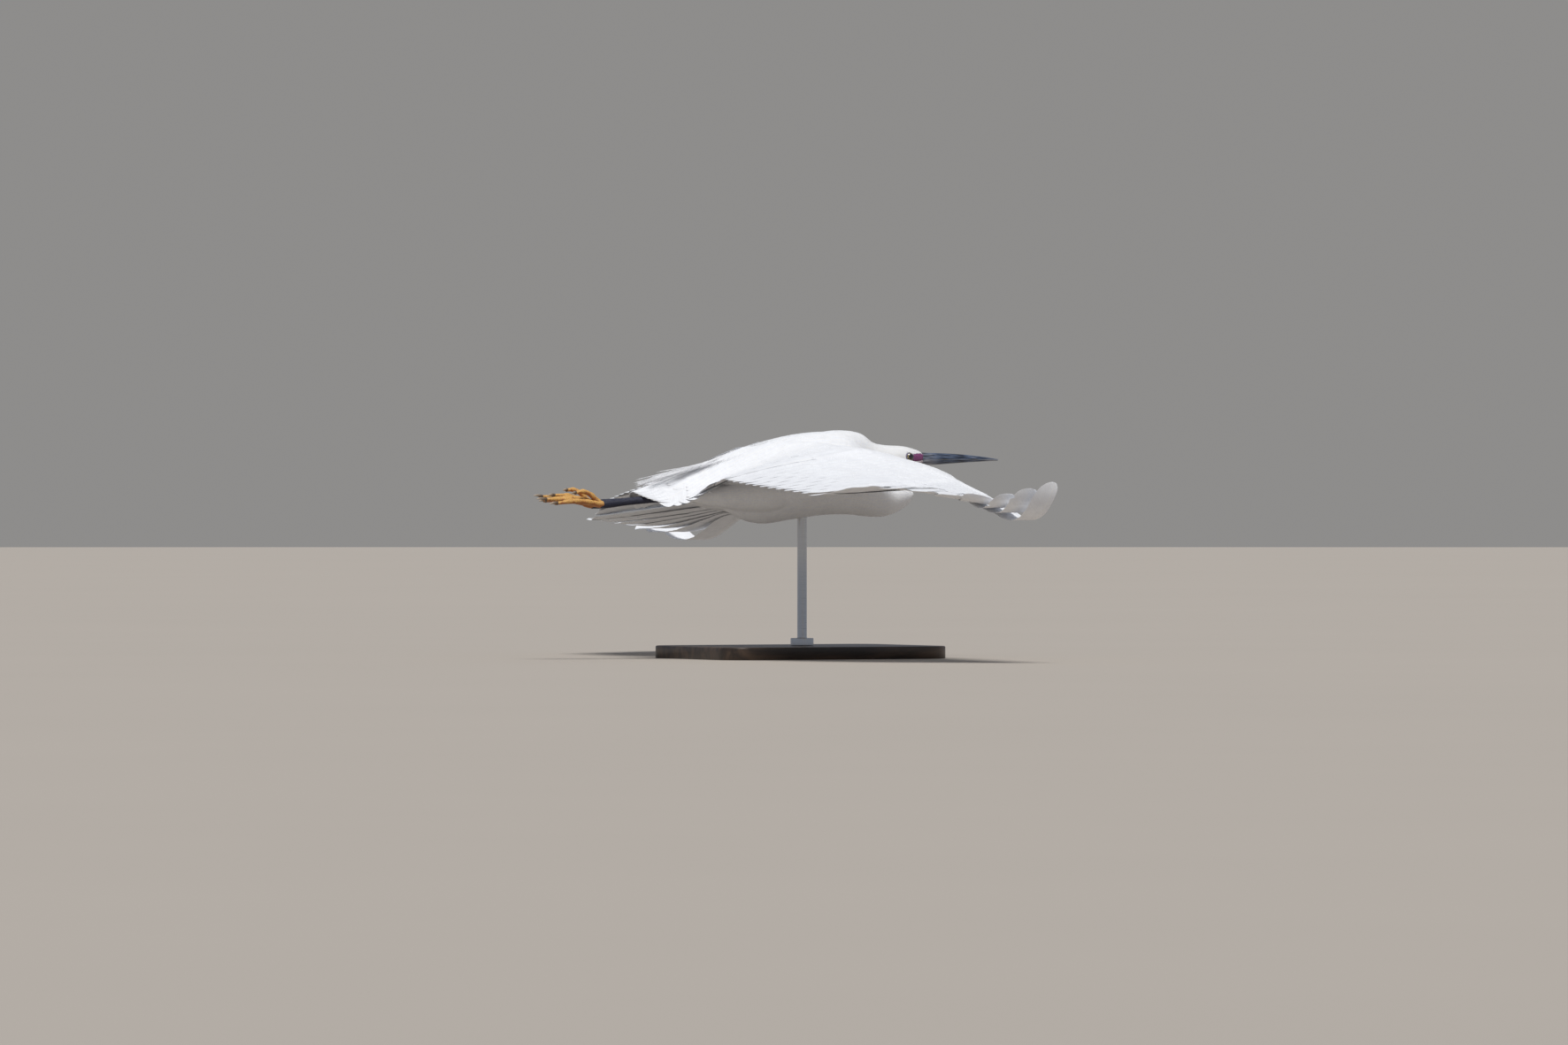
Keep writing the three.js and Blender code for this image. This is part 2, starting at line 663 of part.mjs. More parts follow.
// Foot: three front toes trailed back together and the hind toe, and the claw of each apart.
function footSolids(side, lift, reach) {
  const claws = [];
  let foot = null;
  for (const toe of TOES) {
    const whole = toeSolid(toe, side, lift, reach);
    const clawAt = TOE_BASE.x - toe.reach * reach * CLAW_START;
    claws.push(before(whole, forward, clawAt));
    const fleshy = beyond(whole, forward, clawAt);
    foot = foot ? foot.add(fleshy) : fleshy;
  }
  return { foot: largest(foot.subtract(tarsusSolid(side, GAP))), claws };
}

// Flat display base with rounded corners and a softened rim.
function baseSolid() {
  const shape = new THREE.Shape();
  const halfX = BASE_LENGTH / 2 - BASE_EDGE;
  const halfY = BASE_WIDTH / 2 - BASE_EDGE;
  const r = BASE_CORNER;
  shape.moveTo(-halfX + r, -halfY);
  shape.lineTo(halfX - r, -halfY);
  shape.absarc(halfX - r, -halfY + r, r, -Math.PI / 2, 0, false);
  shape.lineTo(halfX, halfY - r);
  shape.absarc(halfX - r, halfY - r, r, 0, Math.PI / 2, false);
  shape.lineTo(-halfX + r, halfY);
  shape.absarc(-halfX + r, halfY - r, r, Math.PI / 2, Math.PI, false);
  shape.lineTo(-halfX, -halfY + r);
  shape.absarc(-halfX + r, -halfY + r, r, Math.PI, 1.5 * Math.PI, false);
  const plate = new THREE.ExtrudeGeometry(shape, {
    depth: BASE_THICK - 2 * BASE_EDGE,
    bevelEnabled: true,
    bevelThickness: BASE_EDGE,
    bevelSize: BASE_EDGE,
    bevelSegments: 1,
    curveSegments: BASE_CORNER_STEPS,
  });
  plate.translate(BASE_FORWARD, 0, BASE_EDGE);
  return solidFrom(plate);
}

// Rod with a collar at its foot.
function rodSolid() {
  const bottom = BASE_THICK + GAP;
  const profile = [
    new THREE.Vector2(0, bottom),
    new THREE.Vector2(COLLAR_RADIUS, bottom),
    new THREE.Vector2(COLLAR_RADIUS, bottom + COLLAR_HEIGHT * COLLAR_SHOULDER),
    new THREE.Vector2(ROD_RADIUS, bottom + COLLAR_HEIGHT),
    new THREE.Vector2(ROD_RADIUS, ROD_TOP),
    new THREE.Vector2(0, ROD_TOP),
  ];
  const rod = new THREE.LatheGeometry(profile, ROD_SIDES);
  rod.rotateX(Math.PI / 2);
  rod.translate(ROD_FORWARD, 0, 0);
  return solidFrom(rod);
}

// Left-hand solid, or its mirror image for the right.
function handed(solid, side) {
  return side > 0 ? solid : solid.mirror([0, 1, 0]);
}

const sides = [["left", 1], ["right", -1]];
const bird = new THREE.Group();
bird.rotation.set(THREE.MathUtils.degToRad(ROLL_DEG), THREE.MathUtils.degToRad(PITCH_DEG), 0);
bird.position.set(SHOULDER_FORWARD, SHOULDER_SIDEWAYS, SHOULDER_HEIGHT);
bird.updateMatrix();

// Trunk, neck and head as one body, then parted by thin cuts.
let body = trunkSolid(0).add(headSolid(0));
for (const [, side] of sides) body = body.subtract(eyeball(side, GAP));
const foreBody = beyond(body, forward, NAPE_CUT);
const headAndNeck = beyond(foreBody, upward, POUCH_SHELF);
bird.add(meshOf("trunk", before(body, forward, NAPE_CUT).add(plumeSolid(0)), plumageMaterial));
bird.add(meshOf("neck_lower", before(foreBody, upward, POUCH_SHELF), plumageMaterial));
bird.add(meshOf("neck_upper", before(headAndNeck, forward, HEAD_BACK_CUT), plumageMaterial));
bird.add(meshOf("head", beyond(headAndNeck, forward, HEAD_BACK_CUT), plumageMaterial));
bird.add(meshOf("bill_upper", billHalf(true), billMaterial));
bird.add(meshOf("bill_lower", billHalf(false), billMaterial));

// Pieces that lie against the body keep clear of it by the gap.
const bodyHollow = trunkSolid(GAP).add(headSolid(GAP)).add(plumeSolid(GAP));
const wingHollow = bodyHollow.add(tailSolid(GAP));
bird.add(meshOf("tail", largest(tailSolid(0).subtract(bodyHollow)), featherMaterial));
for (const [name, side] of sides) {
  const left = side > 0;
  const out = [0, side, 0];
  const wing = handed(wingSolid(left ? LEFT_HAND : RIGHT_HAND), side).subtract(wingHollow);
  const outer = beyond(wing, out, INNER_CUT);
  bird.add(meshOf(`wing_inner_${name}`, largest(before(wing, out, INNER_CUT)), featherMaterial));
  bird.add(meshOf(`wing_forearm_${name}`, largest(before(outer, out, WRIST_CUT)), featherMaterial));
  bird.add(meshOf(`wing_hand_${name}`, largest(beyond(outer, out, WRIST_CUT)), featherMaterial));
  bird.add(meshOf(`eye_${name}`, eyeball(side, 0), eyeMaterial));
  bird.add(meshOf(`thigh_${name}`, largest(thighSolid(side, 0).subtract(bodyHollow)), plumageMaterial));
  bird.add(meshOf(`shin_${name}`, shinSolid(side), tibiaMaterial));
  bird.add(meshOf(`tarsus_${name}`, tarsusSolid(side, 0), tarsusMaterial));
  const { foot, claws } = footSolids(side, left ? LEFT_FOOT_LIFT : 0, left ? LEFT_FOOT_REACH : 1);
  bird.add(meshOf(`foot_${name}`, foot, footMaterial));
  claws.forEach((claw, i) => bird.add(meshOf(`claw_${name}_${i + 1}`, claw, clawMaterial)));
}

// Stand: the rod's top follows the belly.
const stand = new THREE.Group();
const belly = trunkSolid(GAP).transform(bird.matrix.elements);
stand.add(meshOf("stand_base", baseSolid(), baseMaterial));
stand.add(meshOf("stand_rod", largest(rodSolid().subtract(belly)), rodMaterial));

const group = new THREE.Group();
group.add(bird, stand);
export default group;
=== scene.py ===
"""Looks of a little egret in mid downstroke, held by a rod on a flat display base."""

import json
import logging
import math
from collections.abc import Sequence
from dataclasses import dataclass, field
from enum import Enum

import bpy
import numpy as np
from bpy.types import Material, Mesh, Node, NodeSocket, Object
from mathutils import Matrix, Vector
from mathutils.bvhtree import BVHTree

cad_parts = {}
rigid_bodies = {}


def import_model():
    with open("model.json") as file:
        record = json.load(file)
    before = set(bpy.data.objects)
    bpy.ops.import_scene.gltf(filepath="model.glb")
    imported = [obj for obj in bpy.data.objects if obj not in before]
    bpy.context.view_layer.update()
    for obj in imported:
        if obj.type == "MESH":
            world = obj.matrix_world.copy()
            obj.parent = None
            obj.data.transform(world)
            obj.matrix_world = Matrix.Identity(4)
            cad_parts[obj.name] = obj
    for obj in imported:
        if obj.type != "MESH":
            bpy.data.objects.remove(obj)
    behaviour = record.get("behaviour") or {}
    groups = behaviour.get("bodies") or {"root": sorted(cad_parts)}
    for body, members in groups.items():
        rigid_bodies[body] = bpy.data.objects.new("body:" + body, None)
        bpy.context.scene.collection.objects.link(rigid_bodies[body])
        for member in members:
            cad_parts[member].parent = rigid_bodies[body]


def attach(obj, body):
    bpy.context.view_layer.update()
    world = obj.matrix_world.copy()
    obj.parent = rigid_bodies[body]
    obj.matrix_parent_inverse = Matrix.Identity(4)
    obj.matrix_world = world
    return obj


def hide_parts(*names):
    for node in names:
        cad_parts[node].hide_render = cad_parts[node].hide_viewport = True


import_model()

log = logging.getLogger("little_egret")

Array = np.ndarray
Keys = Sequence[Sequence[float]]

MM = 0.001
BODY = "root"
PATCH = 0.003
CRISP = 60


class Side(Enum):
    """Side of the body, as the sign of its Y."""

    LEFT = 1
    RIGHT = -1

    @property
    def word(self) -> str:
        """Name of the side in the names of pieces."""
        return self.name.lower()


class Face(Enum):
    """Face of a wing or of the back."""

    UPPER = 1
    LOWER = -1


# Curves and placing


def mix(a: Array | float, b: Array | float, t: Array | float) -> Array:
    """Straight mix from a to b by the share t."""
    return a + (b - a) * t


def unit(v: Array) -> Array:
    """Vectors of length one with the same directions."""
    return v / np.maximum(np.linalg.norm(v, axis=-1, keepdims=True), 1e-9)


def soft_step(low: float, high: float, x: Array) -> Array:
    """Smooth rise from 0 at low to 1 at high."""
    t = np.clip((x - low) / (high - low), 0, 1)
    return t * t * (3 - 2 * t)


def bump(middle: float, reach: float, x: Array) -> Array:
    """Bell of height one round a middle."""
    return np.exp(-(((x - middle) / reach) ** 2))


def grid(*parts: Array | float) -> Array:
    """Points or pairs from their parts, spread over one grid."""
    return np.stack(np.broadcast_arrays(*parts), axis=-1)


def turns(count: int) -> Array:
    """Angles in even steps round a ring."""
    return np.linspace(0, math.tau, count, endpoint=False)


def run_along(line: Array) -> Array:
    """Distance run at each point of a line, or of each of several lines."""
    steps = np.linalg.norm(np.diff(line, axis=-2), axis=-1)
    return np.concatenate([0 * steps[..., :1], np.cumsum(steps, axis=-1)], axis=-1)


def hermite(a: Array, b: Array, leaving: Array, reaching: Array, t: Array) -> Array:
    """Smooth curve from a to b by its slopes at both ends and the share t."""
    t2, t3 = t * t, t * t * t
    start = (2 * t3 - 3 * t2 + 1) * a + (t3 - 2 * t2 + t) * leaving
    return start + (3 * t2 - 2 * t3) * b + (t3 - t2) * reaching


def along(keys: Keys, x: Array | float) -> Array:
    """Reads a smooth curve through keys.

    Args:
        keys: Pairs of place and value, in rising order of place.
        x: Places to read.

    Returns:
        The value at each place.
    """
    place, value = np.asarray(keys, float).T
    x = np.asarray(x, float)
    i = np.clip(np.searchsorted(place, x, side="left") - 1, 0, len(place) - 2)
    before, after = np.maximum(i - 1, 0), np.minimum(i + 2, len(place) - 1)
    span = place[i + 1] - place[i]
    leaving = (value[i + 1] - value[before]) / (place[i + 1] - place[before]) * span
    reaching = (value[after] - value[i]) / (place[after] - place[i]) * span
    return hermite(value[i], value[i + 1], leaving, reaching, np.clip((x - place[i]) / span, 0, 1))


def read_table(table: Array, u: Array, v: Array) -> Array:
    """Reads a table between its places, by row u and column v.

    Args:
        table: The table.
        u: Places down its rows.
        v: Places along its columns.

    Returns:
        The value at each place.
    """
    i, j = np.floor(u).astype(int), np.floor(v).astype(int)
    u, v = u - i, v - j
    near = mix(table[i, j], table[i, j + 1], v)
    return mix(near, mix(table[i + 1, j], table[i + 1, j + 1], v), u)


class SmoothPath:
    """Centripetal curve through corners, read from 0 at the first to 1 at the last."""

    def __init__(self, corners: Sequence[Sequence[float]]) -> None:
        """Keeps the corners, with one more beyond each end."""
        points = np.asarray(corners, float)
        self.points = np.vstack([2 * points[0] - points[1], points, 2 * points[-1] - points[-2]])
        self.spans = len(points) - 1

    def at(self, t: Array | float) -> Array:
        """Reads the path.

        Args:
            t: Shares of the way.

        Returns:
            A point for each share.
        """
        p = np.asarray(t, float) * self.spans
        i = np.clip(np.floor(p).astype(int), 0, self.spans - 1)
        a, b, c, d = (self.points[i + k] for k in range(4))
        ab, bc, cd = (np.sqrt(np.linalg.norm(e, axis=-1, keepdims=True)) for e in (b - a, c - b, d - c))
        leaving = ((b - a) / ab - (c - a) / (ab + bc) + (c - b) / bc) * bc
        reaching = ((c - b) / bc - (d - b) / (bc + cd) + (d - c) / cd) * bc
        return hermite(b, c, leaving, reaching, (p - i)[..., None])


@dataclass(frozen=True)
class Placing:
    """Where the bird hangs above the base, and how far it banks and dips."""

    shift: tuple = (103.03, 0.86, 190)
    roll_deg: float = -1.5
    pitch_deg: float = 0.8

    def turn(self) -> Array:
        """Rotation from the bird's frame to the part's.

        Returns:
            A matrix for columns of points.
        """
        r, p = math.radians(self.roll_deg), math.radians(self.pitch_deg)
        roll = [[1, 0, 0], [0, math.cos(r), -math.sin(r)], [0, math.sin(r), math.cos(r)]]
        pitch = [[math.cos(p), 0, math.sin(p)], [0, 1, 0], [-math.sin(p), 0, math.cos(p)]]
        return np.array(roll) @ np.array(pitch)

    def place(self, points: Array) -> Array:
        """Points of the bird's frame in millimetres, as metres of the part's frame."""
        return (points @ self.turn().T + np.array(self.shift)) * MM

    def unplace(self, points: Array) -> Array:
        """Metres of the part's frame, as millimetres of the bird's frame."""
        return (points / MM - np.array(self.shift)) @ self.turn()


PLACING = Placing()


# Meshes


def link(name: str, data: bpy.types.ID) -> Object:
    """Puts data into the scene as an object at the origin."""
    made = bpy.data.objects.new(name, data)
    bpy.context.scene.collection.objects.link(made)
    return made


def set_mark(mesh: Mesh, name: str, values: Array) -> None:
    """Stores a number or a vector at each point of a mesh, from rows of one or three."""
    kind, label = ("FLOAT_VECTOR", "vector") if values.shape[1] == 3 else ("FLOAT", "value")
    data = mesh.attributes.new(name, kind, "POINT").data
    data.foreach_set(label, values.astype(np.float32).reshape(-1))


def read_vectors(mesh: Mesh, kind: str) -> Array:
    """Reads the places (co) or the directions (normal) of a mesh's points."""
    values = np.zeros(len(mesh.vertices) * 3, np.float32)
    mesh.vertices.foreach_get(kind, values)
    return values.reshape(-1, 3)


def keep_result(made: Object) -> Object:
    """Takes what an object's modifiers make as its own mesh, and drops the modifiers.

    Args:
        made: The object.

    Returns:
        The same object.
    """
    graph = bpy.context.evaluated_depsgraph_get()
    mesh = bpy.data.meshes.new_from_object(made.evaluated_get(graph))
    made.modifiers.clear()
    old = made.data
    made.data = mesh
    bpy.data.meshes.remove(old)
    return made


def finish_piece(made: Object, slot: str, *replaced: str) -> None:
    """Hands a piece to the frame.

    Args:
        made: The piece.
        slot: Material slot of the record that it belongs to; not used.
        replaced: CAD nodes that it stands for.
    """
    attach(made, BODY)
    if replaced:
        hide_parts(*replaced)
    log.info("%s: %d faces", made.name, len(made.data.polygons))


class Mesher:
    """Gathers the points and faces of one piece, in millimetres."""

    def __init__(self) -> None:
        """Starts with nothing."""
        self.blocks: list[Array] = []
        self.faces: list[Array] = []
        self.marks: dict[str, list[Array]] = {}
        self.count = 0

    def add(self, points: Array, faces: Sequence[Array], **marks: Array) -> None:
        """Adds a closed shape.

        Args:
            points: Its points, in any grid of threes.
            faces: Arrays of corners, each with a fixed number of corners to a face.
            marks: Values at each point, one number or a pair.
        """
        points = points.reshape(-1, 3)
        self.blocks.append(points)
        self.faces.extend(face + self.count for face in faces)
        for name, values in marks.items():
            self.marks.setdefault(name, []).append(values.reshape(len(points), -1))
        self.count += len(points)

    def build(self, name: str, finish: Material, side: Side = Side.LEFT, on_bird: bool = True,
              sharp: float | None = None) -> Object:
        """Makes the object.

        Args:
            name: Its name.
            finish: Its finish.
            side: RIGHT mirrors what was laid out for the left.
            on_bird: Whether the points are in the bird's frame, and not the part's.
            sharp: Degrees above which an edge is sharp, 0 for every edge and None for no edge.

        Returns:
            The object, in the part's frame, with its faces turned outwards.
        """
        points = np.concatenate(self.blocks) * [1, side.value, 1]
        volume = 0.0
        for face in self.faces:
            corners = points[face]
            for k in range(1, face.shape[1] - 1):
                volume += float((corners[:, 0] * np.cross(corners[:, k], corners[:, k + 1])).sum())
        faces = self.faces if volume > 0 else [face[:, ::-1] for face in self.faces]
        points = PLACING.place(points) if on_bird else points * MM
        corners = np.concatenate([face.reshape(-1) for face in faces])
        sizes = np.concatenate([np.full(len(face), face.shape[1]) for face in faces])
        starts = np.concatenate([[0], np.cumsum(sizes)[:-1]])
        mesh = bpy.data.meshes.new(name)
        mesh.vertices.add(len(points))
        mesh.vertices.foreach_set("co", points.astype(np.float32).reshape(-1))
        mesh.loops.add(len(corners))
        mesh.loops.foreach_set("vertex_index", corners.astype(np.int32))
        mesh.polygons.add(len(sizes))
        mesh.polygons.foreach_set("loop_start", starts.astype(np.int32))
        for mark, blocks in self.marks.items():
            values = np.concatenate(blocks).astype(np.float32)
            if values.shape[1] == 2:
                layer = mesh.uv_layers.new(name=mark)
                layer.uv.foreach_set("vector", values[corners].reshape(-1))
            else:
                set_mark(mesh, mark, values)
        mesh.update(calc_edges=True)
        mesh.polygons.foreach_set("use_smooth", np.full(len(sizes), sharp != 0))
        if sharp:
            mesh.set_sharp_from_angle(angle=math.radians(sharp))
        mesh.materials.append(finish)
        return link(name, mesh)


def ring_faces(rings: int, sides: int) -> Array:
    """Quads between closed rings, by the number of rings and the points in each.

    Args:
        rings: Number of rings.
        sides: Points in each ring.

    Returns:
        Quads.
    """
    ring, side = np.meshgrid(np.arange(rings - 1), np.arange(sides), indexing="ij")
    a = ring * sides + side
    b = ring * sides + (side + 1) % sides
    return grid(a, b, b + sides, a + sides).reshape(-1, 4)


def add_tube(piece: Mesher, rings: Array, **marks: Array) -> None:
    """Adds a closed tube with both ends capped.

    Args:
        piece: Piece that it joins.
        rings: Rings of points, as (rings, sides, 3).
        marks: Values at each ring's points, as (rings, sides) or (rings, sides, n).
    """
    count, sides = rings.shape[:2]
    s = np.arange(sides)
    after = (s + 1) % sides
    total, last = count * sides, (count - 1) * sides
    faces = [ring_faces(count, sides), grid(total, after, s), grid(total + 1, last + s, last + after)]
    capped = {}
    for name, values in {"": rings, **marks}.items():
        values = values.reshape(count, sides, -1)
        tips = [values[0].mean(axis=0), values[-1].mean(axis=0)]
        capped[name] = np.vstack([values.reshape(total, -1), tips])
    piece.add(capped.pop(""), faces, **capped)


def vane_faces(vanes: int, rings: int, across: int) -> list[Array]:
    """Faces of flat closed vanes that share one layout.

    Args:
        vanes: Number of vanes.
        rings: Stations along each vane.
        across: Columns on its upper face, both edges included.

    Returns:
        Quads and triangles.
    """
    sides = 2 * across - 2
    quads, triangles = [ring_faces(rings, sides)], []
    j = np.arange(1, across - 2)
    for base, order in ((0, -1), ((rings - 1) * sides, 1)):
        quads.append((grid(j, j + 1, sides - j - 1, sides - j) + base)[:, ::order])
        corners = np.array([[0, 1, sides - 1], [across - 2, across - 1, across]]) + base
        triangles.append(corners[:, ::order])
    offsets = (np.arange(vanes) * rings * sides)[:, None, None]
    both = (np.vstack(quads), np.vstack(triangles))
    return [(faces[None] + offsets).reshape(-1, faces.shape[1]) for faces in both]


def closed_ring(upper: Array, lower: Array) -> Array:
    """Joins the columns of an upper and a lower face into closed rings."""
    return np.concatenate([upper, lower[:, :, -2:0:-1]], axis=2)


def add_vanes(piece: Mesher, base: Array, normal: Array, height: Array, thick: Array, **marks: Array) -> None:
    """Adds flat closed vanes.

    Args:
        piece: Piece that they join.
        base: Points under the vanes, as (vanes, stations, columns, 3).
        normal: Upward directions at those points.
        height: How far the vane's middle lies above each, as (vanes, stations, columns).
        thick: Thickness at each, with the edge columns brought to nothing.
        marks: Values at each point of the grid, one number or a pair.
    """
    shape = base.shape[:3]
    height, half = np.broadcast_to(height, shape), np.broadcast_to(thick, shape) / 2
    upper = base + normal * (height + half)[..., None]
    lower = base + normal * (height - half)[..., None]
    doubled = {}
    for name, values in marks.items():
        values = values.reshape(*shape, -1)
        doubled[name] = closed_ring(values, values)
    piece.add(closed_ring(upper, lower), vane_faces(*shape), **doubled)


def lane_map(count: int, across: Array, t: Array) -> Array:
    """Unwraps long feathers side by side, each over a lane of its own."""
    lane = (np.arange(count)[:, None, None] + 0.5 + 0.42 * across) / count
    return grid(lane, 0.02 + 0.96 * t)


def patch_map(spots: Array, across: Array, t: Array) -> Array:
    """Unwraps each small feather as a tiny patch at its root's spot."""
    return spots[:, None, None] + grid(across * 0.5, t[:, None]) * PATCH


# Materials


class NodeKit:
    """Short hand for building a node tree."""

    def __init__(self, tree: bpy.types.NodeTree) -> None:
        """Keeps the tree that the nodes go into."""
        self.tree = tree

    @property
    def given(self) -> bpy.types.NodeOutputs:
        """What a group is given."""
        return self.tree.nodes["Group Input"].outputs

    def give(self, **values: NodeSocket) -> None:
        """Puts values out of a group."""
        for name, value in values.items():
            self.tree.links.new(value, self.tree.nodes["Group Output"].inputs[name])

    def node(self, kind: str, inputs: dict | None = None, **settings: object) -> Node:
        """Adds a node.

        Args:
            kind: Its type.
            inputs: Values or sockets for its inputs, by name or number.
            settings: Properties of the node.

        Returns:
            The node.
        """
        made = self.tree.nodes.new(kind)
        for name, value in settings.items():
            setattr(made, name, value)
        for name, value in (inputs or {}).items():
            if isinstance(value, NodeSocket):
                self.tree.links.new(value, made.inputs[name])
            else:
                made.inputs[name].default_value = value
        return made

    def first(self, kind: str, inputs: dict | None = None, **settings: object) -> NodeSocket:
        """Adds a node and returns its first output."""
        return self.node(kind, inputs, **settings).outputs[0]

    def math(self, operation: str, *values: object) -> NodeSocket:
        """Adds a Math node and returns its output."""
        return self.first("ShaderNodeMath", dict(enumerate(values)), operation=operation)

    def blend(self, share: object, a: object, b: object) -> NodeSocket:
        """Adds a colour mix and returns its output."""
        return self.node("ShaderNodeMix", {0: share, 6: a, 7: b}, data_type="RGBA").outputs[2]

    def ramp(self, share: object, low: float, high: float) -> NodeSocket:
        """Adds a smooth rise from 0 at low to 1 at high and returns its output."""
        inputs = {"Value": share, "From Min": low, "From Max": high}
        return self.first("ShaderNodeMapRange", inputs, interpolation_type="SMOOTHSTEP")

    def split(self, vector: object) -> bpy.types.NodeOutputs:
        """Adds a node that takes a vector apart."""
        return self.node("ShaderNodeSeparateXYZ", {0: vector}).outputs

    def joined(self, *parts: object) -> NodeSocket:
        """Adds a vector from its parts."""
        return self.first("ShaderNodeCombineXYZ", dict(enumerate(parts)))

    def uv(self, name: str) -> bpy.types.NodeOutputs:
        """Adds a reader of one of the piece's own maps, as its parts."""
        return self.split(self.first("ShaderNodeUVMap", uv_map=name))

    def mark(self, name: str) -> NodeSocket:
        """Adds a reader of a number kept at the piece's points."""
        return self.node("ShaderNodeAttribute", attribute_name=name).outputs["Fac"]

    def place(self) -> NodeSocket:
        """Adds a reader of the place on the object, in metres."""
        return self.node("ShaderNodeTexCoord").outputs["Object"]

    def noise(self, vector: object, scale: object, detail: float, distortion: float = 0.0) -> NodeSocket:
        """Adds a soft noise as a number."""
        inputs = {"Vector": vector, "Scale": scale, "Detail": detail, "Distortion": distortion}
        return self.node("ShaderNodeTexNoise", inputs).outputs["Fac"]

    def group(self, name: str, **inputs: object) -> bpy.types.NodeOutputs:
        """Places one of the shared groups and returns what it gives."""
        return self.node("ShaderNodeGroup", inputs, node_tree=GROUPS[name]).outputs

    def mottle(self, scale: float, amount: float) -> NodeSocket:
        """Places the group that makes an uneven tone."""
        return self.group("mottle", Scale=scale, Amount=amount)["Value"]


def new_group(kind: str, name: str, inputs: dict[str, float | str], *outputs: str) -> NodeKit:
    """Starts a node group.

    Args:
        kind: Shader or Geometry.
        name: The group's name.
        inputs: Default of each input that is a number, or the kind of any other, by name.
        outputs: Name of each output, a number or the geometry.

    Returns:
        A kit for its tree, with the group's ends as nodes named Group Input and Group Output.
    """
    tree = bpy.data.node_groups.new(name, kind + "NodeTree")
    for label, value in inputs.items():
        word = value if isinstance(value, str) else "Float"
        socket = tree.interface.new_socket(label, in_out="INPUT", socket_type="NodeSocket" + word)
        if word != value:
            socket.default_value = value
    word = "Float" if kind == "Shader" else kind
    for label in outputs:
        tree.interface.new_socket(label, in_out="OUTPUT", socket_type="NodeSocket" + word)
    tree.nodes.new("NodeGroupInput")
    tree.nodes.new("NodeGroupOutput")
    return NodeKit(tree)


def mottle_group() -> bpy.types.NodeTree:
    """Soft uneven tone in two sizes, as a value round nought.

    Returns:
        The group's tree.
    """
    kit = new_group("Shader", "Mottle", {"Scale": 60.0, "Amount": 0.1}, "Value")
    scale = kit.given["Scale"]
    tones = [kit.noise(kit.place(), size, 3.0) for size in (scale, kit.math("MULTIPLY", scale, 4.3))]
    centred = kit.math("SUBTRACT", kit.math("ADD", *tones), 1.0)
    kit.give(Value=kit.math("MULTIPLY", centred, kit.given["Amount"]))
    return kit.tree


def barb_group() -> bpy.types.NodeTree:
    """Barbs slanting off the shaft of a vane, read from its own map in centimetres.

    Returns:
        The group's tree.
    """
    inputs = {"Spacing": 0.09, "Slant": 0.9, "Shaft Width": 0.03}
    kit = new_group("Shader", "Barbs", inputs, "Height", "Shaft", "Streak")
    flat = kit.uv("Vane")
    out = kit.math("ABSOLUTE", flat[1])
    slanted = kit.math("SUBTRACT", flat[0], kit.math("MULTIPLY", out, kit.given["Slant"]))
    phase = kit.math("DIVIDE", slanted, kit.given["Spacing"])
    wave = kit.math("SINE", kit.math("MULTIPLY", phase, math.tau))
    beyond = kit.ramp(kit.math("DIVIDE", out, kit.given["Shaft Width"]), 0.7, 1.2)
    kit.give(Height=kit.math("MULTIPLY_ADD", wave, 0.5, 0.5), Shaft=kit.math("SUBTRACT", 1.0, beyond),
             Streak=kit.noise(kit.joined(kit.math("MULTIPLY", phase, 0.35), out), 1.6, 2.0))
    return kit.tree


def scale_group() -> bpy.types.NodeTree:
    """Small many-sided scales of bare skin, as height, creases and tone.

    Returns:
        The group's tree.
    """
    inputs = {"Scale": 700.0, "Crease Width": 0.12}
    kit = new_group("Shader", "SkinScales", inputs, "Height", "Crease", "Tone")
    cells = {"Vector": kit.place(), "Scale": kit.given["Scale"]}
    edge = kit.node("ShaderNodeTexVoronoi", cells, feature="DISTANCE_TO_EDGE").outputs["Distance"]
    colour = kit.node("ShaderNodeTexVoronoi", cells).outputs["Color"]
    plate = kit.ramp(kit.math("DIVIDE", edge, kit.given["Crease Width"]), 0.0, 1.0)
    kit.give(Height=kit.ramp(edge, 0.0, 0.28), Crease=kit.math("SUBTRACT", 1.0, plate),
             Tone=kit.first("ShaderNodeSeparateColor", {0: colour}))
    return kit.tree


GROUPS = {"mottle": mottle_group(), "barbs": barb_group(), "scales": scale_group()}


def rgb(red: float, green: float, blue: float) -> tuple[float, float, float, float]:
    """Colour with full cover, from shares of light."""
    return (red, green, blue, 1.0)


class FinishKit(NodeKit):
    """Node tree of one finish, round its Principled shader."""

    def __init__(self, name: str, roughness: float, **constants: float) -> None:
        """Starts the material.

        Args:
            name: The finish's name.
            roughness: Its even roughness.
            constants: Other sockets with even values, spaces written as underscores.
        """
        self.material = bpy.data.materials.new(name)
        self.material.use_nodes = True
        super().__init__(self.material.node_tree)
        self.sockets = self.tree.nodes["Principled BSDF"].inputs
        for label, value in {"Roughness": roughness, **constants}.items():
            self.sockets[label.replace("_", " ")].default_value = value

    def stretched(self, *scale: float) -> NodeSocket:
        """Adds the place on the object, stretched each way."""
        return self.first("ShaderNodeMapping", {"Vector": self.place(), "Scale": scale})

    def done(self, colour: object, height: object = None, strength: float = 0.3,
             reach: float = 0.0003) -> Material:
        """Feeds the shader.

        Args:
            colour: Socket of the base colour.
            height: Socket of the relief's height, if it has any.
            strength: Strength of the relief.
            reach: Depth of the relief in metres.

        Returns:
            The material.
        """
        self.tree.links.new(colour, self.sockets["Base Color"])
        if height is not None:
            inputs = {"Height": height, "Strength": strength, "Distance": reach}
            self.tree.links.new(self.first("ShaderNodeBump", inputs), self.sockets["Normal"])
        return self.material


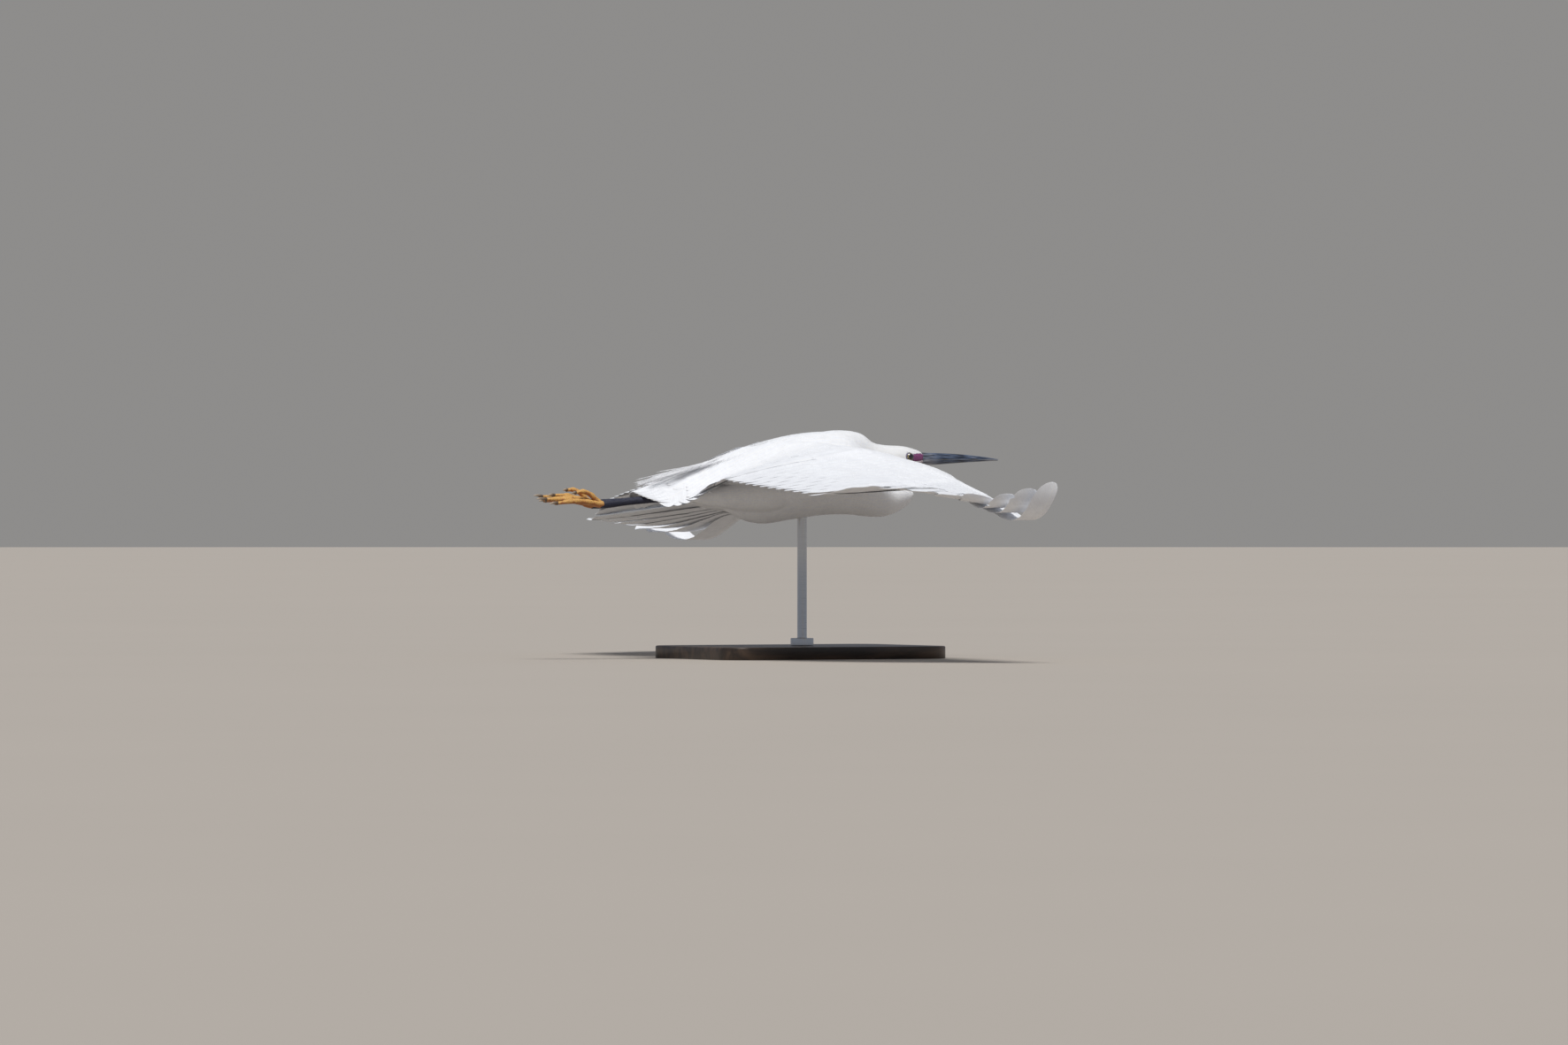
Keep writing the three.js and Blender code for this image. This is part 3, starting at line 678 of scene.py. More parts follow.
@dataclass(frozen=True)
class Plumage:
    """Finish of white feathers: barbs off a shaft, and a tone that differs at random."""

    name: str
    spacing: float
    relief: float
    light: tuple = rgb(0.87, 0.885, 0.91)
    shade: tuple = rgb(0.78, 0.79, 0.82)
    shaft: tuple = rgb(0.9, 0.88, 0.83)

    def make(self) -> Material:
        """Builds the material.

        Returns:
            The material.
        """
        kit = FinishKit(self.name, 0.62, Sheen_Weight=0.15, Specular_IOR_Level=0.3)
        barbs = kit.group("barbs", Spacing=self.spacing)
        tone = kit.math("ADD", barbs["Streak"], kit.mottle(45.0, 0.5))
        base = kit.blend(kit.ramp(tone, 0.3, 0.75), self.shade, self.light)
        base = kit.blend(kit.math("MULTIPLY", barbs["Shaft"], 0.55), base, self.shaft)
        return kit.done(base, barbs["Height"], self.relief, 0.00012)


@dataclass(frozen=True)
class Down:
    """Finish without barbs of its own: the skin below the coat, and the threads of the plumes."""

    name: str
    light: tuple
    shade: tuple

    def make(self) -> Material:
        """Builds the material."""
        kit = FinishKit(self.name, 0.75, Specular_IOR_Level=0.3)
        mottle = kit.mottle(90.0, 1.0)
        return kit.done(kit.blend(kit.ramp(mottle, -0.4, 0.4), self.shade, self.light), mottle, 0.3, 0.0004)


@dataclass(frozen=True)
class ScaledSkin:
    """Finish of bare scaled skin on the legs and feet, and round the eye."""

    name: str
    plate: tuple
    crease: tuple
    top: tuple | None = None
    scale: float = 700.0
    relief: float = 0.5

    def make(self) -> Material:
        """Builds the material, with the top colour painted where the skin is marked as sole; on the feet this
        is painted light on the upward-facing side.

        Returns:
            The material.
        """
        kit = FinishKit(self.name, 0.45, Specular_IOR_Level=0.5)
        scales = kit.group("scales", Scale=self.scale)
        mottle = kit.mottle(140.0, 0.9)
        base = self.plate
        if self.top is not None:
            # Painted light: the top colour goes where the sole mark is high, and the plate colour left
            # elsewhere stands as painted shade on the feet.
            sole = kit.ramp(kit.math("ADD", kit.mark("sole"), mottle), 0.25, 0.75)
            base = kit.blend(sole, self.plate, self.top)
        base = kit.blend(kit.math("MULTIPLY", scales["Crease"], 0.75), base, self.crease)
        shade = kit.ramp(kit.math("ADD", scales["Tone"], mottle), 0.7, 1.2)
        base = kit.blend(kit.math("MULTIPLY", shade, 0.35), base, self.crease)
        return kit.done(base, scales["Height"], self.relief, 0.0004)


@dataclass(frozen=True)
class BillHorn:
    """Finish of the bill: dark horn with lengthwise streaks of blue-grey and pale that are painted
    reflections, paler at its base and tip.
    """

    dark: tuple = rgb(0.012, 0.015, 0.026)
    slate: tuple = rgb(0.075, 0.105, 0.17)
    pale: tuple = rgb(0.30, 0.30, 0.33)

    def make(self) -> Material:
        """Builds the material.

        Returns:
            The material.
        """
        kit = FinishKit("bill_horn", 0.33, Specular_IOR_Level=0.6)
        flat = kit.uv("Bill")
        streaks = kit.noise(kit.joined(kit.math("MULTIPLY", flat[0], 0.08), flat[1]), 9.0, 2.0)
        # Painted reflection: blue-grey streaks over the dark horn, and pale painted highlights on the
        # brightest of them.
        base = kit.blend(kit.ramp(streaks, 0.34, 0.62), self.dark, self.slate)
        base = kit.blend(kit.math("MULTIPLY", kit.ramp(streaks, 0.58, 0.70), 0.6), base, self.pale)
        broken = kit.math("MULTIPLY", kit.mark("pale"), kit.ramp(streaks, 0.25, 0.6))
        return kit.done(kit.blend(broken, base, self.pale), streaks, 0.25, 0.0002)


@dataclass(frozen=True)
class EyeFinish:
    """Finish of the eye: round pupil, streaked yellow iris and a dark rim."""

    pupil: tuple = rgb(0.004, 0.004, 0.006)
    iris: tuple = rgb(0.30, 0.25, 0.12)
    iris_dark: tuple = rgb(0.2, 0.15, 0.05)
    rim: tuple = rgb(0.02, 0.018, 0.03)
    pupil_edge: float = 0.42
    iris_edge: float = 0.62

    def make(self) -> Material:
        """Builds the material.

        Returns:
            The material.
        """
        kit = FinishKit("eye_wet", 0.12, Coat_Weight=1.0, Coat_Roughness=0.03)
        flat = kit.uv("Gaze")
        streaks = kit.noise(kit.joined(kit.math("MULTIPLY", flat[0], 0.6), flat[1]), 26.0, 3.0)
        iris = kit.blend(kit.ramp(streaks, 0.3, 0.7), self.iris_dark, self.iris)
        outer = kit.blend(kit.ramp(flat[0], self.iris_edge - 0.06, self.iris_edge), iris, self.rim)
        beyond = kit.ramp(flat[0], self.pupil_edge - 0.03, self.pupil_edge)
        return kit.done(kit.blend(beyond, self.pupil, outer))


@dataclass(frozen=True)
class PlainHorn:
    """Finish of claws: brown horn, paler towards the tip."""

    root: tuple = rgb(0.10, 0.065, 0.04)
    tip: tuple = rgb(0.42, 0.33, 0.24)

    def make(self) -> Material:
        """Builds the material.

        Returns:
            The material.
        """
        kit = FinishKit("claw_horn", 0.38, Specular_IOR_Level=0.5)
        mottle = kit.mottle(400.0, 0.5)
        way = kit.ramp(kit.math("ADD", kit.mark("way"), mottle), 0.1, 0.9)
        return kit.done(kit.blend(way, self.root, self.tip), mottle, 0.2, 0.0002)


@dataclass(frozen=True)
class OiledWood:
    """Finish of the base: dark close-grained wood under a thin oil."""

    dark: tuple = rgb(0.022, 0.014, 0.010)
    light: tuple = rgb(0.075, 0.045, 0.028)

    def make(self) -> Material:
        """Builds the material.

        Returns:
            The material.
        """
        kit = FinishKit("base_oiled_wood", 0.42, Coat_Weight=0.15, Coat_Roughness=0.3)
        grain = kit.stretched(9.0, 110.0, 60.0)
        rings, pores = kit.noise(grain, 1.0, 6.0, 0.6), kit.noise(grain, 9.0, 3.0)
        base = kit.blend(kit.ramp(rings, 0.38, 0.62), self.dark, self.light)
        base = kit.blend(kit.math("MULTIPLY", kit.ramp(pores, 0.58, 0.72), 0.6), base, self.dark)
        return kit.done(base, pores, 0.18, 0.0003)


@dataclass(frozen=True)
class BrushedSteel:
    """Finish of the rod: steel with fine turning marks."""

    dark: tuple = rgb(0.52, 0.53, 0.54)
    light: tuple = rgb(0.58, 0.59, 0.60)

    def make(self) -> Material:
        """Builds the material.

        Returns:
            The material.
        """
        kit = FinishKit("rod_brushed_steel", 0.3, Metallic=1.0)
        marks = kit.noise(kit.stretched(60.0, 60.0, 2600.0), 1.0, 2.0)
        kit.tree.links.new(kit.math("MULTIPLY_ADD", marks, 0.12, 0.24), kit.sockets["Roughness"])
        return kit.done(kit.blend(kit.ramp(marks, 0.3, 0.7), self.dark, self.light), marks, 0.05, 0.0001)


LORE = ScaledSkin("lore_purple", rgb(0.24, 0.06, 0.17), rgb(0.07, 0.03, 0.09), scale=900.0, relief=0.4)
GAPE = ScaledSkin("gape_pale", rgb(0.50, 0.42, 0.44), rgb(0.30, 0.24, 0.28), scale=1100.0, relief=0.3)
LID = ScaledSkin("lid_grey", rgb(0.22, 0.20, 0.27), rgb(0.07, 0.06, 0.10), scale=1500.0, relief=0.4)
LEG_SKIN = ScaledSkin("leg_black", rgb(0.020, 0.022, 0.050), rgb(0.005, 0.006, 0.014), scale=1100.0)
# Feet: the lighter yellow top colour is painted light on the upward-facing sole, and the orange-brown plate
# below is painted shade.
FOOT_SKIN = ScaledSkin(
    "foot_orange", rgb(0.50, 0.19, 0.05), rgb(0.22, 0.05, 0.02), rgb(0.86, 0.50, 0.13), scale=1400.0
)
PLUME = Down("plume_white", rgb(0.88, 0.885, 0.9), rgb(0.81, 0.81, 0.83))
UNDERCOAT = Down("skin_white", rgb(0.84, 0.85, 0.87), rgb(0.74, 0.74, 0.76))


@dataclass(frozen=True)
class Finishes:
    """Every finish of the piece, made once."""

    coat: Material = field(default_factory=Plumage("coat_white", 0.04, 0.15).make)
    quill: Material = field(default_factory=Plumage("quill_white", 0.05, 0.22).make)
    plume: Material = field(default_factory=PLUME.make)
    skin: Material = field(default_factory=UNDERCOAT.make)
    lore: Material = field(default_factory=LORE.make)
    gape: Material = field(default_factory=GAPE.make)
    lid: Material = field(default_factory=LID.make)
    bill: Material = field(default_factory=BillHorn().make)
    eye: Material = field(default_factory=EyeFinish().make)
    leg: Material = field(default_factory=LEG_SKIN.make)
    foot: Material = field(default_factory=FOOT_SKIN.make)
    claw: Material = field(default_factory=PlainHorn().make)
    wood: Material = field(default_factory=OiledWood().make)
    steel: Material = field(default_factory=BrushedSteel().make)


# Body


@dataclass(frozen=True)
class BodyForm:
    """Round form along the body, by the heights of its top and bottom and its half width."""

    top: Keys
    bottom: Keys
    half_width: Keys
    narrow_top: float

    def surface(self, x: Array, angle: Array, inset: Array | float) -> Array:
        """Reads the form.

        Args:
            x: Places along the body.
            angle: Angles round it, from the left side up over the back.
            inset: Depth under the surface.

        Returns:
            A point for each place and angle.
        """
        high, low = along(self.top, x) - inset, along(self.bottom, x) + inset
        wide = np.maximum(along(self.half_width, x) - inset, 0.3)
        rise = np.sin(angle)
        squeeze = 1 - self.narrow_top * np.maximum(0, rise) ** 2
        return grid(x, wide * squeeze * np.cos(angle), (high + low) / 2 + (high - low) / 2 * rise)

    def share(self, x: Array) -> Array:
        """Share of the way along the form."""
        return (x - self.top[0][0]) / (self.top[-1][0] - self.top[0][0])


TRUNK = BodyForm(
    top=((-182, -12), (-165, -3), (-140, 7), (-112, 16), (-80, 24), (-45, 28), (-20, 26), (0, 5),
         (15, -12), (40, -19), (51, -25.5), (54, -30)),
    bottom=((-182, -22), (-165, -31), (-140, -55), (-112, -64), (-80, -60), (-45, -55), (-15, -54),
            (12, -56), (28, -54), (44, -46), (51, -39.5), (54, -34)),
    half_width=((-182, 9), (-165, 16), (-140, 26), (-112, 33), (-80, 37), (-45, 36), (-15, 29),
                (12, 22), (28, 20), (44, 14.5), (51, 9.5), (54, 4)),
    narrow_top=0.3,
)
HEAD = BodyForm(
    top=((-62, 20), (-42, 28), (-20, 29.5), (-2, 26.5), (10, 18.5), (24, 15.8), (44, 14.6), (58, 11.4),
         (64, 8.9)),
    bottom=((-62, 0), (-20, -12), (0, -15), (20, -15), (38, -14), (52, -9.5), (64, -4.4)),
    half_width=((-62, 8), (-42, 17), (-20, 16), (0, 11.5), (16, 11.8), (32, 12.8), (44, 11.4), (56, 7.6),
                (64, 5)),
    narrow_top=0.1,
)


@dataclass(frozen=True)
class LegPlan:
    """Line of the left leg, trailed straight back."""

    hip: tuple = (-92, 21, -32)
    ankle: tuple = (-188, 11, -37)
    toe_base: tuple = (-285, 9.5, -47)
    thigh_radii: tuple = (14, 17, 17.5, 16, 12, 6)
    hang: float = 3
    hang_at: float = 0.72
    shin_shown: float = -0.08

    def on_shin(self, share: float) -> Array:
        """Point between the ankle and the hip, by the share of the way up."""
        return mix(np.array(self.ankle, float), np.array(self.hip, float), share)

    def thigh_path(self) -> SmoothPath:
        """Line through the middle of the feathered thigh."""
        hanging = self.on_shin(self.hang_at) - [0, 0, self.hang]
        return SmoothPath([self.hip, hanging, self.on_shin(self.shin_shown)])

    def thigh_radius(self, t: Array) -> Array:
        """Radius of the thigh by the share of the way down."""
        last = len(self.thigh_radii) - 1
        return along([[i / last, r] for i, r in enumerate(self.thigh_radii)], t)


LEG = LegPlan()


def ring_round(path: SmoothPath, t: Array, radius: Array, angle: Array, flat: float = 1) -> Array:
    """Rings round a path that runs along the body.

    Args:
        path: The path.
        t: Shares of the way, one for each ring.
        radius: Radius across, as (rings, 1) or (rings, sides).
        angle: Angles round each ring, from the outer side up.
        flat: Height of the ring as a share of its width.

    Returns:
        Points, as (rings, sides, 3).
    """
    step = 1e-3
    ahead = unit(path.at(np.minimum(t + step, 1)) - path.at(np.maximum(t - step, 0)))
    side = unit(np.array([0, 1, 0]) - ahead * ahead[:, 1:2])
    up = np.cross(side, ahead)
    up = up * np.sign(up[:, 2:3])
    out = side[:, None] * (radius * np.cos(angle))[..., None]
    return path.at(t)[:, None] + out + up[:, None] * (radius * flat * np.sin(angle))[..., None]


class SkinField:
    """Finds the skin from points near it, in millimetres of the bird's frame."""

    ASIDE = 30

    def __init__(self, skin: Object) -> None:
        """Reads the mesh of the skin, which is in the part's frame.

        Args:
            skin: The object of the skin.
        """
        points = PLACING.unplace(read_vectors(skin.data, "co").astype(float))
        self.normals = read_vectors(skin.data, "normal").astype(float) @ PLACING.turn()
        faces = [tuple(face.vertices) for face in skin.data.polygons]
        self.tree = BVHTree.FromPolygons(points.tolist(), faces)
        self.first = [face[0] for face in faces]

    def nearest(self, points: Array) -> tuple[Array, Array, Array]:
        """Finds the nearest skin.

        Args:
            points: Points near the skin.

        Returns:
            Nearest places, smooth normals there, and distances.
        """
        found = [self.tree.find_nearest(p) for p in points.tolist()]
        normals = self.normals[[self.first[f[2]] for f in found]]
        return np.array([tuple(f[0]) for f in found]), unit(normals), np.array([f[3] for f in found])

    def cast(self, starts: Array, way: tuple[float, float, float]) -> Array:
        """Casts rays at the skin.

        Args:
            starts: Where they start, in any grid of threes.
            way: Their direction.

        Returns:
            Distance along each, or NaN where it meets nothing.
        """
        hits = (self.tree.ray_cast(Vector(p), Vector(way))[3] for p in starts.reshape(-1, 3).tolist())
        return np.array([math.nan if hit is None else hit for hit in hits]).reshape(starts.shape[:-1])

    def out_at(self, x: Array, z: Array) -> Array:
        """How far out on the left the skin lies, by the places along and up the body."""
        return self.ASIDE - self.cast(grid(x, self.ASIDE, z), (0, -1, 0))


@dataclass(frozen=True)
class Skin:
    """One skin over trunk, neck, head and thighs, with the flesh of both wings."""

    depth: float = 1.7
    face_depth: float = 0.7
    voxel: float = 1.25
    smoothing: int = 5
    sides: int = 56
    nodes: tuple = ("head", "neck_upper", "neck_lower", "trunk", "thigh_left", "thigh_right")

    def inset(self, x: Array) -> Array:
        """Depth of the coat along the head and neck."""
        return along([[-62, self.depth], [10, 1.3], [40, self.face_depth], [64, 0.5]], x)

    def rough_body(self, finish: Material) -> Object:
        """Sets the overlapping forms of the body side by side as one mesh.

        Args:
            finish: Its finish.

        Returns:
            The object, with its forms still apart.
        """
        piece = Mesher()
        angle = turns(self.sides)[None]
        for form, count in ((TRUNK, 70), (HEAD, 60)):
            ease = 0.5 - 0.5 * np.cos(np.linspace(0, math.pi, count))
            x = mix(form.top[0][0] + 1, form.top[-1][0] - 0.6, ease)[:, None]
            add_tube(piece, form.surface(x, angle, self.inset(x) if form is HEAD else self.depth))
        t = np.linspace(0, 1, 24)
        ring = ring_round(LEG.thigh_path(), t, (LEG.thigh_radius(t) - self.depth)[:, None], angle)
        for side in Side:
            add_tube(piece, ring * [1, side.value, 1])
        return piece.build("skin", finish)

    def form(self, finish: Material) -> Object:
        """Melts the forms into one closed skin, with its outward directions kept for the coat.

        Args:
            finish: Its finish.

        Returns:
            The object of the skin.
        """
        skin = self.rough_body(finish)
        melt = skin.modifiers.new("melt", "REMESH")
        melt.mode = "VOXEL"
        melt.voxel_size = self.voxel * MM
        melt.use_smooth_shade = True
        ease = skin.modifiers.new("ease", "SMOOTH")
        ease.factor = 0.5
        ease.iterations = self.smoothing
        keep_result(skin)
        set_mark(skin.data, "outward", read_vectors(skin.data, "normal"))
        return skin

    def take_in(self, skin: Object, wings: Sequence["Wing"], finish: Material) -> None:
        """Joins the flesh of the wings to the skin and hands it over.

        Args:
            skin: The skin of the body.
            wings: Both wings.
            finish: The skin's finish.
        """
        parts = [skin] + [wing.flesh(finish) for wing in wings]
        with bpy.context.temp_override(
            active_object=skin, selected_editable_objects=parts, selected_objects=parts
        ):
            bpy.ops.object.join()
        finish_piece(skin, "plumage", *self.nodes)


# Head


@dataclass(frozen=True)
class BareStrip:
    """Strip of bare skin on the side of the face, by the heights of its edges along the head."""

    bottom: Keys
    top: Keys

    def holds(self, x: Array, z: Array, ahead: float, above: float, below: float) -> Array:
        """Whether places lie in the strip, widened by a little ahead, above and below."""
        high, low = along(self.top, x) + above, along(self.bottom, x) - below
        return (x > self.top[0][0] - ahead) & (z < high) & (z > low)


@dataclass(frozen=True)
class Eyes:
    """Eyeballs with their lids, and the bare skin between eye and bill, laid out for the left."""

    forward: float = 46
    out: float = 7.8
    height: float = 3.6
    radius: float = 4.5
    gaze: tuple = (0.16, 0.985, 0.04)
    opening: tuple = (1.06, 0.94)
    lid_profile: tuple = (
        (3.35, 0.02), (3.45, 0.22), (3.65, 0.34), (3.9, 0.36), (4.2, 0.26), (4.6, 0.1), (4.9, -0.5),
        (3.4, -0.9),
    )
    rings: int = 28
    around: int = 48
    lore: BareStrip = BareStrip(
        bottom=((49.2, -0.9), (54, -0.6), (60, 0.2), (63.4, 0.7)),
        top=((49.2, 5.9), (54, 6.9), (60, 7.4), (63.4, 7.4)),
    )
    gape: BareStrip = BareStrip(
        bottom=((45.5, -2.6), (50, -3.1), (56, -2.9), (60, -2.3), (63.4, -1.7)),
        top=((45.5, -1.5), (50, -1.2), (56, -0.9), (60, -0.1), (63.4, 0.4)),
    )

    def ball(self, side: Side, finish: Material) -> None:
        """Makes an eyeball, its rings centred on the gaze.

        Args:
            side: The side.
            finish: Its finish.
        """
        gaze = unit(np.array(self.gaze))
        across = unit(np.cross(gaze, [0, 0, 1]))
        tilt = np.linspace(0.02, math.pi - 0.05, self.rings)
        tilt, turn = np.meshgrid(tilt, turns(self.around), indexing="ij")
        radius = (self.radius * (1 + 0.045 * np.exp(-((tilt / 0.55) ** 2))))[..., None]
        spread = np.cos(turn)[..., None] * across + np.sin(turn)[..., None] * np.cross(across, gaze)
        way = np.cos(tilt)[..., None] * gaze + np.sin(tilt)[..., None] * spread
        ring = np.array([self.forward, self.out, self.height]) + radius * way
        piece = Mesher()
        add_tube(piece, ring, Gaze=grid(tilt / math.pi * 1.9, turn / math.tau))
        finish_piece(piece.build(f"eyeball_{side.word}", finish, side), "eye", f"eye_{side.word}")

    def lids(self, side: Side, ground: SkinField, finish: Material) -> None:
        """Makes the ring of the lids, from the eyeball out to the skin.

        Args:
            side: The side.
            ground: The skin, ready to be searched.
            finish: Its finish.
        """
        turn = turns(self.around)[:, None]
        reach, rise = np.array(self.lid_profile).T[:, None]
        x = self.forward + self.opening[0] * reach * np.cos(turn)
        z = self.height + self.opening[1] * reach * np.sin(turn)
        bulge = np.sqrt(np.maximum(self.radius**2 - reach**2, 0)) + self.out
        y = np.fmax(bulge, ground.out_at(x, z)) + rise
        sides = len(self.lid_profile)
        piece = Mesher()
        piece.add(grid(x, y, z), [ring_faces(self.around + 1, sides) % (self.around * sides)])
        finish_piece(piece.build(f"eyelids_{side.word}", finish, side), "bill")

    def patch(self, name: str, side: Side, ground: SkinField, finish: Material, strip: BareStrip) -> None:
        """Makes a thin patch of bare skin.

        Args:
            name: Its name.
            side: Its side.
            ground: The skin below.
            finish: Its finish.
            strip: The strip that it fills.
        """
        x = np.linspace(strip.top[0][0], strip.top[-1][0], 40)[:, None]
        v = np.linspace(0, 1, 17)[None]
        z = mix(along(strip.bottom, x), along(strip.top, x), v)
        y = np.nan_to_num(ground.out_at(x, z), nan=4.0)
        wrinkle = 0.07 * np.sin(x * 2.1 + z * 1.3) * np.sin(z * 2.4 - x * 0.7)
        thick = 0.9 * np.minimum(1, 5 * np.minimum(v, 1 - v))
        piece = Mesher()
        add_vanes(piece, grid(x, y, z)[None], np.array([0.0, 1.0, 0.0]), wrinkle[None], thick)
        finish_piece(piece.build(f"{name}_{side.word}", finish, side), "bill")

    def build(self, finishes: Finishes, ground: SkinField) -> None:
        """Makes both eyes and the bare skin before them.

        Args:
            finishes: Every finish of the piece.
            ground: The skin, ready to be searched.
        """
        for side in Side:
            self.ball(side, finishes.eye)
            self.lids(side, ground, finishes.lid)
            self.patch("lore", side, ground, finishes.lore, self.lore)
            self.patch("gape", side, ground, finishes.gape, self.gape)

    def bare(self, points: Array) -> Array:
        """Says which roots of the coat would stand on the eye or on bare skin.

        Args:
            points: Places on the skin.

        Returns:
            Whether each stays free of feathers.
        """
        x, y, z = points.T
        eye = np.hypot(x - self.forward, z - self.height) < self.radius + 0.3
        strips = self.lore.holds(x, z, 1, 0.2, 0.3) | self.gape.holds(x, z, 0, 0, 0)
        return (eye | strips) & (np.abs(y) > 3)


@dataclass(frozen=True)
class Bill:
    """Dagger bill of two halves, with nostrils, a groove from each, and the line of the mouth."""

    base: float = 64
    tip: float = 147.5
    sunk: float = 3.0
    gap: float = 0.3
    culmen: Keys = ((61, 8.4), (64, 8.4), (80, 8.2), (105, 7.5), (130, 5.7), (147.5, 3.6))
    gape: Keys = ((61, 1.2), (64, 1.2), (100, 2.4), (147.5, 2.7))
    chin: Keys = ((61, -3.8), (64, -3.8), (80, -3), (105, -0.9), (130, 0.9), (147.5, 1.9))
    half_width: Keys = ((61, 4.7), (64, 4.7), (80, 4.1), (105, 3.1), (130, 1.9), (147.5, 0.6))
    nostril: tuple = (75.0, 5.2)
    rings: int = 120
    arc: int = 30
    floor: int = 8
    crisp: float = 70

    def half(self, upper: bool, finish: Material) -> None:
        """Makes the upper or the lower half of the bill.

        Args:
            upper: Whether it is the upper half.
            finish: Its finish.
        """
        x = mix(self.base - self.sunk, self.tip, np.linspace(0, 1, self.rings) ** 0.9)[:, None]
        edge = along(self.gape, x) + (self.gap / 2 if upper else -self.gap / 2)
        far = along(self.culmen if upper else self.chin, x)
        wide = along(self.half_width, x)
        angle = np.linspace(0, math.pi, self.arc)[None]
        y = wide * (np.sign(np.cos(angle)) * np.abs(np.cos(angle)) ** (0.82 if upper else 0.9))
        z = edge + (far - edge) * np.sin(angle) ** 0.95
        share = (z - edge) / np.maximum(np.abs(far - edge), 0.05) * (1 if upper else -1)
        fade = soft_step(self.base, self.base + 8, x) * (1 - soft_step(112, 128, x))
        groove = bump(0.56 if upper else 0.45, 0.1, share) * fade * (0.4 if upper else 0.25)
        if upper:
            slit = bump(self.nostril[0], 3.0, x) * bump(self.nostril[1], 0.55, z)
            groove = groove + 0.75 * slit
        y = y - np.sign(y) * groove
        floor = np.linspace(-1, 1, self.floor + 2)[None, 1:-1]
        y = np.concatenate([y, wide * floor], axis=1)
        z = np.concatenate([z, edge + 0 * floor], axis=1)
        around = np.concatenate([share, 0 * floor + 0 * wide], axis=1)
        pale = soft_step(126, 140, x) * (0.25 if upper else 0.9)
        pale = pale + (1 - soft_step(66, 84, x)) * (0.35 if upper else 0.8)
        piece = Mesher()
        flat = grid(x / 10, around * 0.5 + 0.3 * np.sign(y))
        add_tube(piece, grid(x, y, z), Bill=flat, pale=pale + 0 * y)
        word = "upper" if upper else "lower"
        made = piece.build(f"bill_{word}_horn", finish, sharp=self.crisp)
        finish_piece(made, "bill", f"bill_{word}")

    def build(self, finishes: Finishes) -> None:
        """Makes both halves."""
        self.half(True, finishes.bill)
        self.half(False, finishes.bill)


# Wings


